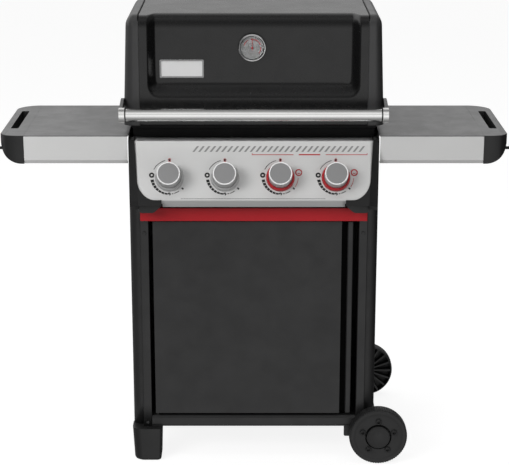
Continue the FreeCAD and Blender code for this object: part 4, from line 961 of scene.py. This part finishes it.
def corner_loop(left, right, front, back, radii, steps=8):
    """Rounded rectangle, from the left front corner round by the right, one radius a corner."""
    loop = []
    corners = ((left, front), (right, front), (right, back), (left, back))
    inward = ((1, 1), (-1, 1), (-1, -1), (1, -1))
    for (x, y), (sx, sy), radius, start in zip(corners, inward, radii, (180, 270, 0, 90)):
        angle = np.radians(start + np.linspace(0, 90, steps))
        loop.append(np.stack([x + sx * radius + radius * np.cos(angle),
                              y + sy * radius + radius * np.sin(angle)], 1))
    return np.concatenate(loop)


def build_door():
    softened("door_panel", "paint", 0.0025)
    softened("door_grip", "paint", 0.0020)
    low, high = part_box("door_grip")
    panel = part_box("door_panel")[1]
    # Painted shade: a near-black slab on the grip groove's floor, standing for the shadow of a deeper
    # channel.
    floor = prism([(panel.x + 0.0002, low.z + 0.001), (panel.x + 0.0158, low.z + 0.001),
                   (panel.x + 0.0158, high.z - 0.001), (panel.x + 0.0002, high.z - 0.001)],
                  low.y + 0.0140, low.y + 0.0150)
    piece("groove_lining", [floor], "door_grip", "shade")


def build_tables():
    for side in ("left", "right"):
        softened("table_top_" + side, "table", 0.0005)
        softened("table_apron_" + side, "silver", 0.0010)
        end = softened("table_end_" + side, "plastic", 0.0010, round_front,
                       (1 if side == "right" else -1) * np.linspace(0.614, 0.668, 14))
        # Painted sheen: the black moulded ends' upward faces take the grey table finish, standing for
        # the light they reflect from above.
        two_finishes(end, "table", lambda normals, centres: normals[:, 2] > 0.5)
    softened("tool_hooks", "plastic", 0.0010)


def round_front(points):
    """Draw the front of a table end back along an arc towards its outer side."""
    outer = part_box("table_end_right")[1].x
    reach, arc_depth, front_start, front_blend = 0.052, 0.030, -0.140, 0.070
    past = np.clip((np.abs(points[:, 0]) - (outer - reach)) / reach, 0, 1)
    drop = arc_depth * (1 - np.sqrt(1 - 0.96 * past ** 2))
    ahead = np.clip((front_start - points[:, 1]) / front_blend, 0, 1)
    moved = points.copy()
    moved[:, 1] += drop * ahead
    return moved


def build_wheels(settings):
    """Ribbed wheels: a closed section turned about the axle, with bosses and inner fins."""
    for node, cap, side in (("wheel_front", "hub_cap_front", -1), ("wheel_rear", "hub_cap_rear", 1)):
        low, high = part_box(node)
        radius, width = (high.z - low.z) / 2, high.y - low.y
        centre = np.array([(low.x + high.x) / 2, high.y if side < 0 else low.y, (low.z + high.z) / 2])
        axis = (0, side, 0)
        web = width - 0.0045
        section = [(0.0056, web), (0.0300, web), (0.0305, web - 0.0090), (0.0352, web - 0.0090),
                   (0.0356, web + 0.0004), (0.0366, web + 0.0012), (0.0610, web + 0.0012),
                   (0.0650, web + 0.0022),
                   (0.0680, width - 0.0012), (radius - 0.006, width - 0.0008),
                   (radius - 0.0024, width - 0.002),
                   (radius - 0.0004, width - 0.006), (radius, width - 0.010), (radius, 0.010),
                   (radius - 0.0004, 0.006),
                   (radius - 0.0018, 0.002), (radius - 0.0030, 0.0008), (radius - 0.0045, 0.0008),
                   (radius - 0.0056, 0.003), (radius - 0.0060, web - 0.011), (0.0170, web - 0.011),
                   (0.0165, 0.002), (0.0056, 0.002)]

        def tread(r, h, angle):
            block = np.clip(4 * np.sin(angle * settings.tread_ribs), -1, 0)
            return 0.0013 * block * (r > radius - 0.0030) * (h > 0.004)

        shells = [lathe(section, centre, axis, settings.tread_ribs * 8, True, tread)]
        for index in range(settings.fins):
            shells.append(fin(centre, side, 2 * math.pi * index / settings.fins, web))
        for index in range(5):
            angle = math.pi / 2 + index * 2 * math.pi / 5
            spot = centre + np.array([math.cos(angle), 0, math.sin(angle)]) * settings.boss_circle
            boss = [(0, web - 0.001), (0.0080, web - 0.001), (0.0078, web + 0.0056),
                    (0.0064, web + 0.0074),
                    (0.0050, web + 0.0074), (0.0044, web + 0.0062), (0.0042, web + 0.0010),
                    (0, web + 0.0010)]
            shells.append(lathe(boss, spot, axis, 28))
        piece(node + "_moulding", shells, node, "rubber", (node,), 32)
        low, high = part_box(cap)
        face = high.y if side < 0 else low.y
        dome = high.y - low.y
        cap_radius = (high.x - low.x) / 2 - 0.0018
        start = (centre[0], face, centre[2])
        profile = [(0, -0.004), (cap_radius - 0.001, -0.004), (cap_radius, -0.002),
                   (cap_radius, 0.0008),
                   (cap_radius - 0.0012, 0.0020), (cap_radius - 0.003, 0.0022),
                   (cap_radius - 0.004, 0.0016),
                   (cap_radius - 0.006, 0.0018), (cap_radius * 0.6, dome * 0.72),
                   (cap_radius * 0.3, dome * 0.94), (0, dome)]
        piece(cap + "_dome", [lathe(profile, start, axis, 64)], cap, "plastic", (cap,), 28)


def fin(centre, side, angle, web):
    """One rib on the inner side of a wheel, a wall that thickens from hub to rim."""
    ends = np.array([0.016, 0.0745])[:, None] * (math.cos(angle), math.sin(angle))
    across = np.array([-math.sin(angle), math.cos(angle)]) * np.array([0.0014, 0.0026])[:, None]
    outline = np.concatenate([ends - across, (ends + across)[::-1]])
    points = np.stack([centre[0] + outline[:, 0], np.full(len(outline), centre[1] + side * 0.003),
                       centre[2] + outline[:, 1]], 1)
    return slab(points, np.array([0, side * (web - 0.012), 0]))


def build_insides():
    coat("sooty", "firebox")
    coat("plated", "gas_manifold", "valve_stem_1", "valve_stem_2", "valve_stem_3", "valve_stem_4",
         "warming_rack")
    coat("heat_steel", "burner_tubes", "heat_tents")
    coat("iron", "cooking_grate_left", "cooking_grate_right")
    coat("tray", "grease_tray")
    coat("foil", "catch_pan")
    coat("brass", "gas_valves", "gas_inlet")
    coat("plastic", "igniter_module")


# ---------------------------------------------------------------- stage

SKY = ((-180, 0.30), (-110, 0.25), (-75, 0.30), (-50, 0.45), (-30, 0.85), (-12, 1.0), (-4, 0.86),
       (5, 0.66),
       (20, 0.42), (39, 0.22), (55, 0.27), (75, 0.52), (92, 0.26), (108, 0.28), (122, 0.60), (150, 1.1),
       (163, 1.0), (172, 0.62), (180, 0.50))
AROUND = ((-180, 0.90), (-112, 1.10), (-98, 0.95), (-82, 0.26), (-50, 0.20), (-22, 0.28), (-9, 1.0),
          (12, 1.0),
          (30, 0.72), (50, 0.34), (66, 0.16), (95, 0.10), (155, 0.14), (168, 0.90), (180, 0.90))


def surroundings(tree):
    """Soft bands of light, by pitch from the front over the top to the back and by bearing.

    pitch = atan2(Z, -Y) and bearing = atan2(X, -Y) each look up a table of levels; the
    bearing's level fades to one towards straight up and straight down.
    """
    nodes, links = tree.nodes, tree.links

    def lookup(high, forward, table):
        turn = nodes.new("ShaderNodeMath")
        turn.operation = "ARCTAN2"
        links.new(high, turn.inputs[0])
        links.new(forward, turn.inputs[1])
        spread = nodes.new("ShaderNodeMapRange")
        spread.inputs["From Min"].default_value = -math.pi
        spread.inputs["From Max"].default_value = math.pi
        links.new(turn.outputs[0], spread.inputs["Value"])
        ramp = nodes.new("ShaderNodeValToRGB")
        stops = ramp.color_ramp.elements
        for index, (angle, level) in enumerate(table):
            spot = (angle + 180) / 360
            stop = stops[0] if index == 0 else stops[-1] if index == len(table) - 1 else stops.new(spot)
            stop.position = spot
            stop.color = (level, level, level, 1)
        links.new(spread.outputs["Result"], ramp.inputs["Fac"])
        return ramp.outputs["Color"]

    axes = nodes.new("ShaderNodeSeparateXYZ")
    links.new(nodes.new("ShaderNodeTexCoord").outputs["Generated"], axes.inputs[0])
    forward = nodes.new("ShaderNodeMath")
    forward.operation = "MULTIPLY"
    links.new(axes.outputs["Y"], forward.inputs[0])
    forward.inputs[1].default_value = -1.0
    pitch = lookup(axes.outputs["Z"], forward.outputs[0], SKY)
    bearing = lookup(axes.outputs["X"], forward.outputs[0], AROUND)
    steep = nodes.new("ShaderNodeMath")
    steep.operation = "ABSOLUTE"
    links.new(axes.outputs["Z"], steep.inputs[0])
    level = nodes.new("ShaderNodeMapRange")
    level.interpolation_type = "SMOOTHSTEP"
    level.inputs["From Min"].default_value = 0.45
    level.inputs["From Max"].default_value = 0.80
    links.new(steep.outputs[0], level.inputs["Value"])
    blend = nodes.new("ShaderNodeMix")
    blend.data_type = "RGBA"
    links.new(level.outputs["Result"], blend.inputs["Factor"])
    links.new(bearing, blend.inputs["A"])
    blend.inputs["B"].default_value = (1, 1, 1, 1)
    product = nodes.new("ShaderNodeMix")
    product.data_type = "RGBA"
    product.blend_type = "MULTIPLY"
    product.inputs["Factor"].default_value = 1.0
    links.new(pitch, product.inputs["A"])
    links.new(blend.outputs["Result"], product.inputs["B"])
    links.new(product.outputs["Result"], nodes["Background"].inputs["Color"])


def stage_surface(name, shape, glow):
    """Pale glowing surface of the stage that only the camera and shadows see."""
    vertices, faces = shape
    mesh = bpy.data.meshes.new(name)
    mesh.from_pydata(vertices.tolist(), [], faces.tolist())
    mesh.shade_smooth()
    made = bpy.data.objects.new(name, mesh)
    material, nodes, links, paint, place = shader("pale_" + name)
    cloud = noise(nodes, links, place, 1.5)
    links.new(ranged(nodes, links, cloud, 0.75, 0.8), paint.inputs["Roughness"])
    paint.inputs["Base Color"].default_value = (0.22, 0.22, 0.22, 1)
    paint.inputs["Specular IOR Level"].default_value = 0.0
    paint.inputs["Emission Color"].default_value = (1, 1, 1, 1)
    paint.inputs["Emission Strength"].default_value = glow
    mesh.materials.append(material)
    bpy.context.scene.collection.objects.link(made)
    made.visible_glossy = False
    made.visible_diffuse = False
    made.visible_transmission = False
    return made


def soft_lamp(name, place, aim, size, power):
    """Rectangular area lamp at a place, turned to face its aim."""
    lamp = bpy.data.lights.new(name, "AREA")
    lamp.shape = "RECTANGLE"
    lamp.size, lamp.size_y = size
    lamp.energy = power
    holder = bpy.data.objects.new(name, lamp)
    holder.location = place
    holder.rotation_euler = (Vector(aim) - Vector(place)).to_track_quat("-Z", "Y").to_euler()
    bpy.context.scene.collection.objects.link(holder)
    return holder


def build_stage(settings):
    """Pale floor inside a round backdrop, soft lights, banded surroundings and the camera."""
    scene = bpy.context.scene
    floor_half = 16.0
    wall_radius, wall_height, cove = 15.0, 12.0, 2.0
    spread = np.linspace(-floor_half, floor_half, 9)
    x, y = np.meshgrid(spread, spread)
    stage_surface("floor", surface(np.stack([x, y, np.zeros(x.shape)], -1)), 0.87)
    bend = np.radians(np.linspace(0, 90, 13))
    profile = [(wall_radius - cove + cove * math.sin(turn),
                cove - cove * math.cos(turn)) for turn in bend]
    profile.append((wall_radius, wall_height))
    backdrop = stage_surface("backdrop", lathe(profile, (0, 0, 0), (0, 0, 1), 96), 1.0)
    backdrop.visible_shadow = False
    world = bpy.data.worlds.new("studio")
    world.use_nodes = True
    surroundings(world.node_tree)
    scene.world = world
    for name, place, aim, size, power in (
            ("key_light", (-2.6, -3.2, 2.6), (0, 0, 0.8), (2.2, 1.6), 118),
            ("fill_light", (2.4, -3.6, 1.8), (0, 0, 0.8), (1.8, 1.8), 20),
            ("top_light", (0.0, 0.0, 3.8), (0, 0, 1.0), (3.6, 3.0), 70)):
        soft_lamp(name, place, aim, size, power).visible_glossy = False
    polish = bpy.data.collections.new("polished_parts")
    for name in ("handle_tube", "handle_brackets_skin", "collar_rings"):
        polish.objects.link(bpy.data.objects[name])
    handle_middle = (0, -0.28, 1.0)
    for name, place, size, power in (("handle_wash", (0, -4.0, 2.6), (8.0, 6.2), 70),
                                     ("handle_strip", (0, -3.2, 3.75), (8.0, 1.2), 16)):
        soft_lamp(name, place, handle_middle, size, power).light_linking.receiver_collection = polish
    camera = bpy.data.cameras.new("camera")
    camera.sensor_width = 36
    camera.lens = settings.focal
    camera.clip_end = 60
    eye = bpy.data.objects.new("camera", camera)
    eye.location = settings.eye
    eye.rotation_euler = (math.pi / 2 - settings.pitch, 0, 0)
    scene.collection.objects.link(eye)
    scene.camera = eye
    scene.view_settings.view_transform = "Standard"


# ---------------------------------------------------------------- operators and panel

class GRILL_OT_finishes(bpy.types.Operator):
    """Make the grill's finishes"""
    bl_idname = "grill.finishes"
    bl_label = "Make Finishes"

    def execute(self, context):
        FINISHES.update(make_finishes(context.scene.grill_finish))
        return {"FINISHED"}


class GRILL_OT_lid(bpy.types.Operator):
    """Build the lid's sheet, cast ends, handle and plate"""
    bl_idname = "grill.lid"
    bl_label = "Build Lid"

    def execute(self, context):
        build_lid(context.scene.grill_lid)
        build_handle()
        build_plate()
        return {"FINISHED"}


class GRILL_OT_gauge(bpy.types.Operator):
    """Build the dial thermometer"""
    bl_idname = "grill.gauge"
    bl_label = "Build Thermometer"

    def execute(self, context):
        build_gauge()
        return {"FINISHED"}


class GRILL_OT_panel(bpy.types.Operator):
    """Build the control panel, its frames and its print"""
    bl_idname = "grill.panel"
    bl_label = "Build Control Panel"

    def execute(self, context):
        build_panel(context.scene.grill_panel)
        build_print(context.scene.grill_panel)
        return {"FINISHED"}


class GRILL_OT_knobs(bpy.types.Operator):
    """Build the knobs and bezels"""
    bl_idname = "grill.knobs"
    bl_label = "Build Knobs"

    def execute(self, context):
        build_knobs(context.scene.grill_panel)
        return {"FINISHED"}


class GRILL_OT_cart(bpy.types.Operator):
    """Build the cart and its door"""
    bl_idname = "grill.cart"
    bl_label = "Build Cart and Door"

    def execute(self, context):
        build_cart()
        build_door()
        return {"FINISHED"}


class GRILL_OT_tables(bpy.types.Operator):
    """Build the side tables"""
    bl_idname = "grill.tables"
    bl_label = "Build Tables"

    def execute(self, context):
        build_tables()
        return {"FINISHED"}


class GRILL_OT_wheels(bpy.types.Operator):
    """Build the wheels and hub caps"""
    bl_idname = "grill.wheels"
    bl_label = "Build Wheels"

    def execute(self, context):
        build_wheels(context.scene.grill_wheel)
        return {"FINISHED"}


class GRILL_OT_insides(bpy.types.Operator):
    """Finish the firebox, burners, grates and gas parts"""
    bl_idname = "grill.insides"
    bl_label = "Finish Insides"

    def execute(self, context):
        build_insides()
        return {"FINISHED"}


class GRILL_OT_stage(bpy.types.Operator):
    """Set the floor, lights and camera"""
    bl_idname = "grill.stage"
    bl_label = "Set Stage"

    def execute(self, context):
        build_stage(context.scene.grill_studio)
        return {"FINISHED"}


OPERATORS = (GRILL_OT_finishes, GRILL_OT_lid, GRILL_OT_gauge, GRILL_OT_panel, GRILL_OT_knobs,
             GRILL_OT_cart, GRILL_OT_tables, GRILL_OT_wheels, GRILL_OT_insides, GRILL_OT_stage)


class GRILL_PT_sidebar(bpy.types.Panel):
    bl_label = "Gas Barbecue Grill"
    bl_space_type = "VIEW_3D"
    bl_region_type = "UI"
    bl_category = "Grill"

    def draw(self, context):
        for operator in OPERATORS:
            self.layout.operator(operator.bl_idname)


SETTINGS = {"grill_lid": GrillLidSettings, "grill_panel": GrillPanelSettings,
            "grill_wheel": GrillWheelSettings,
            "grill_finish": GrillFinishSettings, "grill_studio": GrillStudioSettings}


def register():
    for name, group in SETTINGS.items():
        bpy.utils.register_class(group)
        setattr(bpy.types.Scene, name, bpy.props.PointerProperty(type=group))
    for operator in OPERATORS:
        bpy.utils.register_class(operator)
    bpy.utils.register_class(GRILL_PT_sidebar)


def unregister():
    bpy.utils.unregister_class(GRILL_PT_sidebar)
    for operator in reversed(OPERATORS):
        bpy.utils.unregister_class(operator)
    for name, group in SETTINGS.items():
        delattr(bpy.types.Scene, name)
        bpy.utils.unregister_class(group)


def main():
    register()
    for step in ("finishes", "lid", "gauge", "panel", "knobs", "cart", "tables", "wheels", "insides",
                 "stage"):
        getattr(bpy.ops.grill, step)()


if __name__ == "__main__":
    main()
